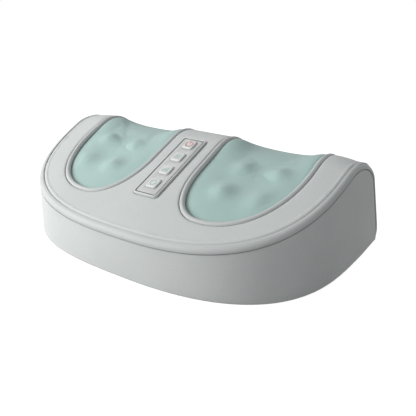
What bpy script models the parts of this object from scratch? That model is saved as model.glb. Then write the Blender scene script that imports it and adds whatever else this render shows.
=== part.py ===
"""Foot and calf massager: a wedge-shaped body with two padded wells over turning kneading heads.

Lengths are in metres and +Z is up. The front, where the feet come in, faces -Y. The origin lies
on the floor under the middle of the body. The body is a side profile (a front slope, a round
ridge and a steep back) met by a plan outline, so most surfaces are offsets of those two shapes.
"""

import math

import bmesh
import bpy
from mathutils import Matrix, Vector

# Gaps and cutters
SEAT_GAP = 0.0003
OVERRUN = 0.010
SCREW_MERGE = 0.0001
CAP_WELD = 0.00001

# Body profile and plan
BODY_WIDTH = 0.450
BODY_DEPTH = 0.2876
RIDGE_HEIGHT = 0.1342
RIDGE_RADIUS = 0.060
BASE_HEIGHT = 0.002
FRONT_SLOPE_DEGREES = 23.1
BACK_SLOPE_DEGREES = 66.25
WIDEST_SHARE = 0.7208
PLAN_ACROSS_POWER = 2.67
PLAN_ALONG_POWER = 3.34

# Covers, trim and casing
COVER_THICKNESS = 0.0025
BAND_REACH = 0.0066
WALL_TUCK = 0.0012
WALL_TUCK_HEIGHT = 0.012
CASING_THICKNESS = 0.0025

# Wells: the outline is drawn on the unrolled top, across it and along its run from the front edge,
# and its shares go from the inner side to the outer one or from the front end to the back one
WELL_INNER_X = 0.0352
WELL_SIDE_MARGIN = 0.0422
WELL_FRONT_RUN = 0.0469
WELL_BACK_REACH = 0.008  # past the end of the ridge's round
WELL_TIP_ACROSS_SHARE = 0.3848
WELL_CENTRE_ACROSS_SHARE = 0.506
WELL_CENTRE_ALONG_SHARE = 0.501
WELL_INNER_SHOULDER_SHARE = 0.372
WELL_OUTER_SHOULDER_SHARE = 0.533
WELL_BACK_SHOULDER_SHARE = 0.822
WELL_POWER = 2.2
PIPING_RADIUS = 0.00425
PIPING_DEPTH = 0.0025
WELL_GAP = 0.0006

# Pads: a hollow trough with a soft bump over each kneading node
PAD_THICKNESS = 0.006
PAD_TROUGH = 0.0045
TALL_BUMP_HEIGHT = 0.010
SHORT_BUMP_HEIGHT = 0.007
BUMP_SPREAD = 0.0115
PAD_SEAT_GAP = 0.0007
PAD_SIDE_GAP = 0.0008
RING_WALL = 0.0028
RING_LEDGE_REACH = 0.008
RING_LEDGE_THICKNESS = 0.0025

# Kneading head under each well, its axis placed by a share of the well's width and set back
# from the ridge's round, so that its nodes turn under the flat slope
HEAD_ACROSS_SHARE = 0.5441
HEAD_SETBACK = 0.0505
NODE_ORBIT_RADIUS = 0.036
NODE_RADIUS = 0.0085
TALL_NODE_HEIGHT = 0.0117
SHORT_NODE_HEIGHT = 0.0097
NODE_HEADROOM = 0.00065
ROTOR_THICKNESS = 0.005
ROTOR_LOBE_RADIUS = 0.0445
ROTOR_WAIST_RADIUS = 0.025
ROTOR_HUB_RADIUS = 0.008
ROTOR_HUB_HEIGHT = 0.004
ROTOR_RUNNING_GAP = 0.002

# Deck, bush and gearbox
DECK_WIDTH = 0.112
DECK_LENGTH = 0.096
DECK_THICKNESS = 0.004
DECK_CORNER = 0.010
BUSH_RADIUS = 0.007
BUSH_FLANGE_RADIUS = 0.0095
BUSH_FLANGE_THICKNESS = 0.0013
SHAFT_RADIUS = 0.004
GEAR_DEPTH = 0.0128
WHEEL_TEETH = 24
WHEEL_ROOT_RADIUS = 0.0182
WHEEL_PITCH_RADIUS = 0.020
WHEEL_TIP_RADIUS = 0.021
WHEEL_ROOT_TOOTH = 0.0025
WHEEL_TIP_TOOTH = 0.0013
WHEEL_THICKNESS = 0.005
WHEEL_HUB_RADIUS = 0.009
WHEEL_HUB_HEIGHT = 0.009
WORM_PITCH_RADIUS = 0.0055
WORM_ROOT_RADIUS = 0.0042
WORM_TIP_RADIUS = 0.0069
WORM_ROOT_THREAD = 0.0024
WORM_TIP_THREAD = 0.0012
WORM_TURNS = 3.5
WORM_SHAFT_RADIUS = 0.0025
BOX_CLEARANCE = 0.0035
BOX_WALL = 0.003
BOX_FLOOR = 0.004
BOX_DEPTH_BELOW_GEAR = 0.0085
BEARING_POCKET = 0.003
MOTOR_RADIUS = 0.012
MOTOR_LENGTH = 0.031
MOTOR_BOSS_RADIUS = 0.005
MOTOR_BORE_DEPTH = 0.010
MOTOR_CAP_RADIUS = 0.0045
MOTOR_CAP_LENGTH = 0.004
POST_RADIUS = 0.0045
POST_X = 0.050
POST_Y = 0.042

# Base pan, its lip, screws and feet
BASE_PLATE = 0.003
LIP_THICKNESS = 0.0025
LIP_HEIGHT = 0.008
SCREW_BOSS_RADIUS = 0.006
SCREW_BOSS_HEIGHT = 0.007
SCREW_POCKET_DEPTH = 0.004
SCREW_HEAD_RADIUS = 0.0035
SCREW_HEAD_HEIGHT = 0.002
SCREW_SHANK_RADIUS = 0.0015
SCREW_SHANK_LENGTH = 0.014
CASING_BOSS_RADIUS = 0.0045
CASING_BOSS_BITE = 0.0012
FRONT_SCREW_ACROSS_SHARE = 0.267
FRONT_SCREW_INSET = 0.0178
BACK_SCREW_SIDE_INSET = 0.022
BACK_SCREW_INSET = 0.0658
FOOT_RADIUS = 0.011
FOOT_PLUG_RADIUS = 0.004
FOOT_PLUG_RISE = 0.002
FRONT_FOOT_ACROSS_SHARE = 0.6
FRONT_FOOT_INSET = 0.0588
BACK_FOOT_SIDE_INSET = 0.030
BACK_FOOT_INSET = 0.0338

# Control panel on the bridge between the wells, its middle set back from the ridge's round
PANEL_SETBACK = 0.0573
PANEL_WIDTH = 0.037
PANEL_LENGTH = 0.118
PANEL_CORNER = 0.0045
PANEL_RISE = 0.0025
PANEL_SINK = 0.0025
PANEL_RIM = 0.002
PANEL_GROOVE = 0.0004
PANEL_BEVEL = 0.0006
TUB_WALL = 0.0018
TUB_DEPTH = 0.0124
FACE_THICKNESS = 0.002
FACE_DROP = 0.0005
BUTTON_SIZE = 0.0155
BUTTON_CORNER = 0.003
BUTTON_RISE = 0.002
BUTTON_BEVEL = 0.0008
BUTTON_FLANGE = 0.001
BUTTON_FLANGE_THICKNESS = 0.0012
BUTTON_STEM_RADIUS = 0.002
BUTTON_STEM_LENGTH = 0.002
BUTTON_TRAVEL = 0.0011
BUTTON_BACK_INSET = 0.0144
BUTTON_FRONT_INSET = 0.0215
SWITCH_SIZE = 0.006
SWITCH_HEIGHT = 0.0032
PLUNGER_RADIUS = 0.0017
BOARD_THICKNESS = 0.0016

# Mains adaptor inlet and driver board
DRIVER_WIDTH = 0.060
DRIVER_LENGTH = 0.040
DRIVER_INSET = 0.0438
DRIVER_POST_HEIGHT = 0.0067
DRIVER_POST_RADIUS = 0.003
DRIVER_POST_INSET = 0.006
JACK_BODY_WIDTH = 0.014
JACK_BODY_LENGTH = 0.012
JACK_BODY_HEIGHT = 0.012
JACK_BARREL_RADIUS = 0.0055
JACK_PROUD = 0.0029
JACK_BORE_RADIUS = 0.0031
JACK_BORE_DEPTH = 0.012
JACK_PIN_RADIUS = 0.001
JACK_PIN_RECESS = 0.0052

# Counts of facets
ROUND_SIDES = 16
SMALL_SIDES = 10
WELL_STATIONS = 44
PLAN_STATIONS = 61
SIDE_STATIONS = 10
HIDDEN_STEP = 3
RIDGE_STEPS = 14
CUTTER_RINGS = 6
PAD_RINGS = 9
PAD_LEDGE_SHARE = 0.84
FINE_STEPS = 240

# Places worked out from the sizes above
FRONT_SLOPE = math.radians(FRONT_SLOPE_DEGREES)
BACK_SLOPE = math.radians(BACK_SLOPE_DEGREES)
HALF_WIDTH = BODY_WIDTH / 2
FRONT_Y = -BODY_DEPTH / 2
BACK_Y = BODY_DEPTH / 2
FRONT_REACH = BODY_DEPTH * WIDEST_SHARE
WIDEST_Y = FRONT_Y + FRONT_REACH
RIDGE_Z = RIDGE_HEIGHT - RIDGE_RADIUS
BACK_EDGE_Z = RIDGE_Z + RIDGE_RADIUS * math.cos(BACK_SLOPE)
RIDGE_Y = (BACK_Y - (BACK_EDGE_Z - BASE_HEIGHT) / math.tan(BACK_SLOPE)
           - RIDGE_RADIUS * math.sin(BACK_SLOPE))
ARC_START_Y = RIDGE_Y - RIDGE_RADIUS * math.sin(FRONT_SLOPE)
ARC_START_RUN = (ARC_START_Y - FRONT_Y) / math.cos(FRONT_SLOPE)
ARC_END_RUN = ARC_START_RUN + RIDGE_RADIUS * (FRONT_SLOPE + BACK_SLOPE)
WELL_OUTER_X = HALF_WIDTH - WELL_SIDE_MARGIN
WELL_BACK_RUN = ARC_END_RUN + WELL_BACK_REACH
WELL_WIDTH = WELL_OUTER_X - WELL_INNER_X
WELL_LENGTH = WELL_BACK_RUN - WELL_FRONT_RUN
WELL_TIP_X = WELL_INNER_X + WELL_WIDTH * WELL_TIP_ACROSS_SHARE
WELL_CENTRE_X = WELL_INNER_X + WELL_WIDTH * WELL_CENTRE_ACROSS_SHARE
WELL_CENTRE_RUN = WELL_FRONT_RUN + WELL_LENGTH * WELL_CENTRE_ALONG_SHARE
WELL_INNER_SHOULDER_RUN = WELL_FRONT_RUN + WELL_LENGTH * WELL_INNER_SHOULDER_SHARE
WELL_OUTER_SHOULDER_RUN = WELL_FRONT_RUN + WELL_LENGTH * WELL_OUTER_SHOULDER_SHARE
WELL_BACK_SHOULDER_RUN = WELL_FRONT_RUN + WELL_LENGTH * WELL_BACK_SHOULDER_SHARE
HEAD_X = WELL_INNER_X + WELL_WIDTH * HEAD_ACROSS_SHARE
HEAD_RUN = ARC_START_RUN - HEAD_SETBACK
PANEL_RUN = ARC_START_RUN - PANEL_SETBACK
FRONT_SCREW_X = HALF_WIDTH * FRONT_SCREW_ACROSS_SHARE
FRONT_SCREW_Y = FRONT_Y + FRONT_SCREW_INSET
BACK_SCREW_X = HALF_WIDTH - BACK_SCREW_SIDE_INSET
BACK_SCREW_Y = BACK_Y - BACK_SCREW_INSET
FRONT_FOOT_X = HALF_WIDTH * FRONT_FOOT_ACROSS_SHARE
FRONT_FOOT_Y = FRONT_Y + FRONT_FOOT_INSET
BACK_FOOT_X = HALF_WIDTH - BACK_FOOT_SIDE_INSET
BACK_FOOT_Y = BACK_Y - BACK_FOOT_INSET
DRIVER_Y = BACK_Y - DRIVER_INSET
CASING_OFFSET = COVER_THICKNESS + SEAT_GAP
CASING_INSIDE = CASING_OFFSET + CASING_THICKNESS
PAD_RIM_DEPTH = PIPING_DEPTH + PIPING_RADIUS + SEAT_GAP
BASE_TOP = BASE_HEIGHT + BASE_PLATE
NODE_TOP_DEPTH = PAD_RIM_DEPTH + PAD_TROUGH + PAD_THICKNESS + NODE_HEADROOM
ROTOR_TOP_DEPTH = NODE_TOP_DEPTH + TALL_NODE_HEIGHT + SEAT_GAP
ROTOR_BOTTOM_DEPTH = ROTOR_TOP_DEPTH + ROTOR_THICKNESS
DECK_TOP_DEPTH = ROTOR_BOTTOM_DEPTH + ROTOR_RUNNING_GAP
DECK_BOTTOM_DEPTH = DECK_TOP_DEPTH + DECK_THICKNESS
GEAR_MIDDLE_DEPTH = DECK_BOTTOM_DEPTH + GEAR_DEPTH
WORM_Y = -(WHEEL_PITCH_RADIUS + WORM_PITCH_RADIUS)
WORM_LEAD = 2 * math.pi * WHEEL_PITCH_RADIUS / WHEEL_TEETH
BOX_HALF = WHEEL_TIP_RADIUS + BOX_CLEARANCE
BOX_FRONT_Y = WORM_Y - WORM_TIP_RADIUS - BOX_CLEARANCE / 2
BOX_FLOOR_DEPTH = GEAR_MIDDLE_DEPTH + BOX_DEPTH_BELOW_GEAR
FACE_TOP = PANEL_RISE - FACE_DROP
FACE_BOTTOM = FACE_TOP - FACE_THICKNESS
TUB_FLOOR_TOP = -(TUB_DEPTH - TUB_WALL)
BOARD_TOP = TUB_FLOOR_TOP + SEAT_GAP + BOARD_THICKNESS
FLANGE_TOP = FACE_BOTTOM - SEAT_GAP
FLANGE_BOTTOM = FLANGE_TOP - BUTTON_FLANGE_THICKNESS
STEM_BOTTOM = FLANGE_BOTTOM - BUTTON_STEM_LENGTH
PLUNGER_TOP = STEM_BOTTOM - BUTTON_TRAVEL - SEAT_GAP
DRIVER_BOTTOM = BASE_TOP + DRIVER_POST_HEIGHT + SEAT_GAP
DRIVER_TOP = DRIVER_BOTTOM + BOARD_THICKNESS
JACK_Z = DRIVER_TOP + SEAT_GAP + JACK_BODY_HEIGHT / 2
JACK_END_Y = BACK_Y - (JACK_Z - BASE_HEIGHT) / math.tan(BACK_SLOPE) + JACK_PROUD
SIDES = {"left": -1, "right": 1}


# Scene helpers
def clear_scene():
    """Remove every object that the scene starts with."""
    for item in list(bpy.data.objects):
        bpy.data.objects.remove(item, do_unlink=True)


def new_collection(name):
    """Add a named collection to the scene."""
    group = bpy.data.collections.new(name)
    bpy.context.scene.collection.children.link(group)
    return group


def finish_of(name, colour, roughness, metallic=0.0):
    """Make a Principled material."""
    finish = bpy.data.materials.new(name)
    finish.use_nodes = True
    shader = finish.node_tree.nodes["Principled BSDF"]
    shader.inputs["Base Color"].default_value = (*colour, 1.0)
    shader.inputs["Roughness"].default_value = roughness
    shader.inputs["Metallic"].default_value = metallic
    finish.diffuse_color = (*colour, 1.0)
    return finish


def add_mesh(name, shape, group, frame=None):
    """Turn a bmesh into a linked object with outward faces, in a parent frame if one is given."""
    bmesh.ops.recalc_face_normals(shape, faces=shape.faces)
    mesh = bpy.data.meshes.new(name)
    shape.to_mesh(mesh)
    shape.free()
    item = bpy.data.objects.new(name, mesh)
    item.parent = frame
    group.objects.link(item)
    return item


def add_frame(name, location, tilt=0.0):
    """Add an empty that carries the pieces of one assembly or one joint."""
    frame = bpy.data.objects.new(name, None)
    frame.location = location
    frame.rotation_euler = (tilt, 0.0, 0.0)
    bpy.context.scene.collection.objects.link(frame)
    return frame


def smooth(item, degrees=35):
    """Shade a round piece smooth and keep its corners sharp."""
    item.data.shade_smooth()
    item.data.set_sharp_from_angle(angle=math.radians(degrees))
    return item


class Model:
    """The part's two collections and the steps that every piece goes through."""

    def __init__(self, name):
        """Open the collections for the pieces and for the cutters."""
        self.parts = new_collection(name)
        self.cutters = new_collection(name + "_cutters")

    def guide(self, item):
        """Move a shape into the cutter collection, hidden from the render."""
        for group in item.users_collection:
            group.objects.unlink(item)
        self.cutters.objects.link(item)
        item.display_type = "WIRE"
        item.hide_render = True
        return item

    def combine(self, target, other, operation):
        """Add an exact Boolean with another shape, which becomes a guide."""
        self.guide(other)
        modifier = target.modifiers.new(operation.lower() + "_" + other.name, "BOOLEAN")
        modifier.operation = operation
        modifier.solver = "EXACT"
        modifier.object = other
        return target

    def cut(self, target, *others):
        """Take shapes away from a piece."""
        for other in others:
            self.combine(target, other, "DIFFERENCE")
        return target

    def join(self, target, *others):
        """Add shapes to a piece as one body."""
        for other in others:
            self.combine(target, other, "UNION")
        return target

    def keep(self, target, other):
        """Keep only what a piece shares with a shape."""
        return self.combine(target, other, "INTERSECT")


# Shape helpers
def box(name, group, low, high, frame=None):
    """Box between two corners."""
    shape = bmesh.new()
    bmesh.ops.create_cube(shape, size=1.0)
    low, high = Vector(low), Vector(high)
    bmesh.ops.scale(shape, vec=high - low, verts=shape.verts)
    bmesh.ops.translate(shape, vec=(high + low) / 2, verts=shape.verts)
    return add_mesh(name, shape, group, frame)


def rod(name, group, radius, start, end, frame=None, sides=ROUND_SIDES):
    """Round rod between two points."""
    start, end = Vector(start), Vector(end)
    shape = bmesh.new()
    bmesh.ops.create_cone(shape, cap_ends=True, segments=sides, radius1=radius, radius2=radius,
                          depth=(end - start).length)
    turn = Vector((0, 0, 1)).rotation_difference(end - start).to_matrix().to_4x4()
    shape.transform(Matrix.Translation((start + end) / 2) @ turn)
    return smooth(add_mesh(name, shape, group, frame))


def turned(name, group, profile, frame=None, sides=ROUND_SIDES, hollow=False):
    """Turned piece: (radius, height) points, top to bottom on the outside, screwed about Z."""
    mesh = bpy.data.meshes.new(name)
    points = [(radius, 0.0, height) for radius, height in profile]
    edges = [(i, i + 1) for i in range(len(points) - 1)]
    if hollow:
        edges.append((len(points) - 1, 0))
    mesh.from_pydata(points, edges, [])
    item = bpy.data.objects.new(name, mesh)
    item.parent = frame
    group.objects.link(item)
    screw = item.modifiers.new("turn", "SCREW")
    screw.steps = screw.render_steps = sides
    screw.use_merge_vertices = True
    screw.merge_threshold = SCREW_MERGE
    screw.use_smooth_shade = True
    return item


def extruded(name, group, outline, low, high, frame=None, turn=None):
    """Solid of a closed flat outline between two heights, drawn as a filled 2D curve."""
    curve = bpy.data.curves.new(name, "CURVE")
    curve.dimensions = "2D"
    curve.fill_mode = "BOTH"
    curve.extrude = (high - low) / 2
    spline = curve.splines.new("POLY")
    spline.points.add(len(outline) - 1)
    for point, (across, along) in zip(spline.points, outline):
        point.co = (across, along, 0.0, 1.0)
    spline.use_cyclic_u = True
    source = bpy.data.objects.new(name, curve)
    bpy.context.scene.collection.objects.link(source)
    settled = source.evaluated_get(bpy.context.evaluated_depsgraph_get())
    mesh = bpy.data.meshes.new_from_object(settled)
    bpy.data.objects.remove(source, do_unlink=True)
    shape = bmesh.new()
    shape.from_mesh(mesh)
    bpy.data.meshes.remove(mesh)
    bmesh.ops.remove_doubles(shape, verts=shape.verts, dist=CAP_WELD)
    shape.transform((turn or Matrix()) @ Matrix.Translation((0, 0, (low + high) / 2)))
    return add_mesh(name, shape, group, frame)


def loft(name, group, rings, closed=False):
    """Skin a row of like rings; an open row gets a cap at each end."""
    shape = bmesh.new()
    rows = [[shape.verts.new(point) for point in ring] for ring in rings]
    count = len(rows[0])
    for one, two in zip(rows, rows[1:] + rows[:1] if closed else rows[1:]):
        for i in range(count):
            shape.faces.new((one[i], one[(i + 1) % count], two[(i + 1) % count], two[i]))
    if not closed:
        shape.faces.new(rows[0])
        shape.faces.new(reversed(rows[-1]))
    return add_mesh(name, shape, group)


def rounded_rectangle(width, length, radius, steps=3):
    """Outline of a rectangle with round corners, about the origin."""
    points = []
    for quarter, (sx, sy) in enumerate(((1, 1), (-1, 1), (-1, -1), (1, -1))):
        for step in range(steps + 1):
            angle = math.pi / 2 * (quarter + step / steps)
            points.append((sx * (width / 2 - radius) + radius * math.cos(angle),
                           sy * (length / 2 - radius) + radius * math.sin(angle)))
    return points


def bevel(item, width, segments=1):
    """Round a piece's sharp edges."""
    modifier = item.modifiers.new("edges", "BEVEL")
    modifier.width = width
    modifier.segments = segments
    modifier.limit_method = "ANGLE"
    modifier.angle_limit = math.radians(50)
    return item


# Body surfaces
def profile_point(run, depth=0.0):
    """Point (y, z) on the side profile at a run from the front edge, sunk below the surface."""
    if run < ARC_START_RUN:
        turn, past = -FRONT_SLOPE, run - ARC_START_RUN
    elif run > ARC_END_RUN:
        turn, past = BACK_SLOPE, run - ARC_END_RUN
    else:
        turn, past = (run - ARC_START_RUN) / RIDGE_RADIUS - FRONT_SLOPE, 0.0
    radius = RIDGE_RADIUS - depth
    return (RIDGE_Y + radius * math.sin(turn) + past * math.cos(turn),
            RIDGE_Z + radius * math.cos(turn) - past * math.sin(turn))


def profile_height(y, depth=0.0):
    """Height of the side profile at a place along Y, sunk below the surface."""
    radius = RIDGE_RADIUS - depth
    front = RIDGE_Y - radius * math.sin(FRONT_SLOPE)
    back = RIDGE_Y + radius * math.sin(BACK_SLOPE)
    if y < front:
        return RIDGE_Z + radius * math.cos(FRONT_SLOPE) - (front - y) * math.tan(FRONT_SLOPE)
    if y > back:
        return RIDGE_Z + radius * math.cos(BACK_SLOPE) - (y - back) * math.tan(BACK_SLOPE)
    return RIDGE_Z + math.sqrt(radius ** 2 - (y - RIDGE_Y) ** 2)


def back_face_y(z, depth=0.0):
    """Place along Y of the steep back at a height, sunk below the surface."""
    return BACK_Y - (z - BASE_HEIGHT) / math.tan(BACK_SLOPE) - depth / math.sin(BACK_SLOPE)


def surface_point(x, run, depth=0.0):
    """Point on the top at a place across it and a run from its front edge."""
    return Vector((x, *profile_point(run, depth)))


def signed_power(value, power):
    """Power of a value that keeps its sign."""
    return math.copysign(abs(value) ** power, value)


def resampled(points, count, cyclic=False):
    """Points at equal steps along a polyline."""
    line = [Vector(point) for point in points]
    if cyclic:
        line.append(line[0].copy())
    reach = [0.0]
    for one, two in zip(line, line[1:]):
        reach.append(reach[-1] + (two - one).length)
    steps = count if cyclic else count - 1
    result, at = [], 0
    for i in range(count):
        goal = reach[-1] * i / steps
        while at < len(line) - 2 and reach[at + 1] < goal:
            at += 1
        share = (goal - reach[at]) / (reach[at + 1] - reach[at])
        result.append(line[at].lerp(line[at + 1], share))
    return result


def inward_normals(points, cyclic=False):
    """Unit normals on the left of a polyline's direction."""
    normals = []
    for i in range(len(points)):
        before = points[i - 1] if i or cyclic else points[0]
        after = points[(i + 1) % len(points)] if i < len(points) - 1 or cyclic else points[-1]
        along = (after - before).normalized()
        normals.append(Vector((-along.y, along.x)))
    return normals


def plan_line(back_run):
    """Plan outline from the left side's back end, round the front, to the right side's back end."""
    fine = []
    for i in range(FINE_STEPS + 1):
        angle = math.pi * i / FINE_STEPS
        fine.append((-HALF_WIDTH * signed_power(math.cos(angle), 2 / PLAN_ACROSS_POWER),
                     WIDEST_Y - FRONT_REACH * signed_power(math.sin(angle), 2 / PLAN_ALONG_POWER)))
    front = resampled(fine, PLAN_STATIONS)
    widest_run = ARC_START_RUN + RIDGE_RADIUS * (
        FRONT_SLOPE + math.asin((WIDEST_Y - RIDGE_Y) / RIDGE_RADIUS))
    runs = [widest_run + (ARC_END_RUN - widest_run) * i / SIDE_STATIONS
            for i in range(1, SIDE_STATIONS + 1)]
    if back_run > ARC_END_RUN:
        runs.append(back_run)
    side = [Vector((HALF_WIDTH, profile_point(run)[0])) for run in runs]
    left = [Vector((-point.x, point.y)) for point in reversed(side)]
    return left + front + side


def plan_outline(inset, back_y, step=1):
    """Closed plan outline, moved inward, with a straight back edge, from every step-th station."""
    line = plan_line(ARC_END_RUN)
    points = [point + normal * inset for point, normal in zip(line, inward_normals(line))][::step]
    points = [point for point in points if point.y < min(back_y, points[0].y) or point.y < WIDEST_Y]
    edge = HALF_WIDTH - inset
    return [(-edge, back_y)] + [tuple(point) for point in points] + [(edge, back_y)]


def profile_outline(depth, floor):
    """Closed side profile, sunk below the surface, down to a floor."""
    runs = [ARC_START_RUN + (ARC_END_RUN - ARC_START_RUN) * i / RIDGE_STEPS
            for i in range(RIDGE_STEPS + 1)]
    points = [profile_point(run, depth) for run in runs]
    front = FRONT_Y - OVERRUN
    return [(front, floor), (front, profile_height(front, depth)), *points,
            (back_face_y(floor, depth), floor)]


def profile_ribbon(depth, thickness):
    """Closed outline of a skin that follows the side profile at one depth."""
    runs = [-OVERRUN] + [ARC_START_RUN + (ARC_END_RUN - ARC_START_RUN) * i / RIDGE_STEPS
                         for i in range(RIDGE_STEPS + 1)]
    runs.append(ARC_END_RUN + RIDGE_HEIGHT)
    outer = [profile_point(run, depth) for run in runs]
    inner = [profile_point(run, depth + thickness) for run in reversed(runs)]
    return outer + inner


def along_x():
    """Turn that lays a drawing of (y, z) points across the body."""
    return Matrix(((0, 0, 1, 0), (1, 0, 0, 0), (0, 1, 0, 0), (0, 0, 0, 1)))


def well_line(grow=0.0):
    """Closed well outline of (x, run) points on the right side, grown outward."""
    fine = []
    bend = 2 / WELL_POWER
    quarter = FINE_STEPS // 4
    middle = (WELL_INNER_X + WELL_OUTER_X) / 2
    for i in range(quarter + 1):
        angle = math.pi / 2 * i / quarter
        fine.append((WELL_TIP_X - (WELL_TIP_X - WELL_INNER_X) * signed_power(math.cos(angle), bend),
                     WELL_INNER_SHOULDER_RUN - (WELL_INNER_SHOULDER_RUN - WELL_FRONT_RUN)
                     * signed_power(math.sin(angle), bend)))
    for i in range(1, quarter + 1):
        angle = math.pi / 2 * i / quarter
        fine.append((WELL_TIP_X + (WELL_OUTER_X - WELL_TIP_X) * signed_power(math.sin(angle), bend),
                     WELL_OUTER_SHOULDER_RUN - (WELL_OUTER_SHOULDER_RUN - WELL_FRONT_RUN)
                     * signed_power(math.cos(angle), bend)))
    for i in range(2 * quarter + 1):
        angle = math.pi / 2 * i / quarter
        fine.append((middle + (WELL_OUTER_X - middle) * signed_power(math.cos(angle), bend),
                     WELL_BACK_SHOULDER_RUN + (WELL_BACK_RUN - WELL_BACK_SHOULDER_RUN)
                     * signed_power(math.sin(angle), bend)))
    line = resampled(fine, WELL_STATIONS, cyclic=True)
    return [point - normal * grow for point, normal in zip(line, inward_normals(line, True))]


def well_point(side, point, depth):
    """Point on one side's well at a place (x, run) and a depth."""
    return surface_point(SIDES[side] * point.x, point.y, depth)


def even_shares(count):
    """Shares of the way out from a well's middle, from the rim inward, in equal steps."""
    return [1 - i / count for i in range(count)]


def well_solid(name, group, side, grow, top, bottom, top_shares, bottom_shares):
    """Closed solid over a well between two depths, each a function of (x, run, share out)."""
    line = well_line(grow)
    centre = Vector((WELL_CENTRE_X, WELL_CENTRE_RUN))
    shape = bmesh.new()

    def sheet(depth_at, shares):
        """Rings of vertices from the rim to one middle vertex."""
        rows = []
        for share in shares:
            places = [centre.lerp(point, share) for point in line]
            rows.append([shape.verts.new(well_point(side, place, depth_at(place.x, place.y, share)))
                         for place in places])
        middle = shape.verts.new(well_point(side, centre, depth_at(centre.x, centre.y, 0.0)))
        size = len(line)
        for one, two in zip(rows, rows[1:]):
            for i in range(size):
                shape.faces.new((one[i], one[(i + 1) % size], two[(i + 1) % size], two[i]))
        for i in range(size):
            shape.faces.new((rows[-1][i], rows[-1][(i + 1) % size], middle))
        return rows[0]

    upper = sheet(top, top_shares)
    lower = sheet(bottom, bottom_shares)
    for i in range(len(upper)):
        after = (i + 1) % len(upper)
        shape.faces.new((upper[i], upper[after], lower[after], lower[i]))
    return add_mesh(name, shape, group)


def back_run_of(z, depth):
    """Run of the place on the outer profile whose offset at a depth, straight below, has a height."""
    y = back_face_y(z, depth)
    radius_end = RIDGE_Y + RIDGE_RADIUS * math.sin(BACK_SLOPE)
    if y > radius_end:
        return ARC_END_RUN + (y - radius_end) / math.cos(BACK_SLOPE)
    return ARC_START_RUN + RIDGE_RADIUS * (FRONT_SLOPE + math.asin((y - RIDGE_Y) / RIDGE_RADIUS))


# Pieces of the body
def make_side_wall(model, finish):
    """Cover strip round the front and both ends, tucked in a little at the floor."""
    last = back_run_of(BASE_HEIGHT + WALL_TUCK_HEIGHT / 2, BAND_REACH + SEAT_GAP)
    line = plan_line(last)
    rings = []
    for point, normal in zip(line, inward_normals(line)):
        inner = point + normal * COVER_THICKNESS
        top = profile_height(point.y, BAND_REACH + SEAT_GAP)
        inner_top = profile_height(inner.y, BAND_REACH + SEAT_GAP)
        tuck = min(WALL_TUCK_HEIGHT, (top - BASE_HEIGHT) / 2)
        levels = [(WALL_TUCK, BASE_HEIGHT), (0.0, BASE_HEIGHT + tuck)]
        ring = [(point + normal * inset).to_3d() + Vector((0, 0, z)) for inset, z in levels]
        ring += [Vector((*point, top)), Vector((*inner, inner_top)), Vector((*inner, BASE_HEIGHT))]
        rings.append(ring)
    item = loft("side_wall", model.parts, rings)
    item.data.materials.append(finish)
    return smooth(item, 50)


def make_trim_band(model, finish):
    """Rounded band over the edge between the top and the side wall, down to the floor at the back."""
    line = plan_line(back_run_of(BASE_HEIGHT - OVERRUN, 0.0))
    curve_shares = [i / 3 for i in range(4)]
    section = [(BAND_REACH * (1 - share) ** 2, BAND_REACH * share ** 2) for share in curve_shares]
    section += [(COVER_THICKNESS, BAND_REACH), (COVER_THICKNESS, COVER_THICKNESS),
                (BAND_REACH, COVER_THICKNESS)]
    rings = []
    for point, normal in zip(line, inward_normals(line)):
        ring = []
        for inset, depth in section:
            place = point + normal * inset
            ring.append(Vector((*place, profile_height(place.y, depth))))
        rings.append(ring)
    item = loft("trim_band", model.parts, rings)
    item.data.materials.append(finish)
    floor = box("band_floor", model.parts, (-BODY_WIDTH, -BODY_DEPTH, BASE_HEIGHT - BODY_DEPTH),
                (BODY_WIDTH, BODY_DEPTH, BASE_HEIGHT))
    model.cut(item, floor)
    return smooth(item, 50)


def well_cutter(model, side, name):
    """Cutter that opens a sheet of the top over one well."""
    shares = even_shares(CUTTER_RINGS)
    return well_solid(name, model.parts, side, WELL_GAP, lambda x, run, share: -OVERRUN,
                      lambda x, run, share: OVERRUN, shares, shares)


def jack_cutter(model, name, gap=SEAT_GAP):
    """Round cutter for the inlet's barrel."""
    return rod(name, model.parts, JACK_BARREL_RADIUS + gap, (0, DRIVER_Y, JACK_Z),
               (0, BACK_Y + OVERRUN, JACK_Z))


def make_top_cover(model, panel, finish):
    """Cover over the slope, the ridge and the back, open at both wells and at the panel."""
    item = extruded("top_cover", model.parts, profile_ribbon(0.0, COVER_THICKNESS), -BODY_WIDTH,
                    BODY_WIDTH, turn=along_x())
    item.data.materials.append(finish)
    inside = extruded("cover_plan", model.parts, plan_outline(BAND_REACH + SEAT_GAP, BODY_DEPTH),
                      BASE_HEIGHT, BASE_HEIGHT + BODY_DEPTH)
    model.keep(item, inside)
    window = extruded("cover_window", model.parts,
                      rounded_rectangle(PANEL_WIDTH + 2 * SEAT_GAP, PANEL_LENGTH + 2 * SEAT_GAP,
                                        PANEL_CORNER), -OVERRUN, OVERRUN, frame=panel)
    model.cut(item, window, jack_cutter(model, "cover_jack_hole"),
              well_cutter(model, "right", "cover_right_well"),
              well_cutter(model, "left", "cover_left_well"))
    return item


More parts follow.
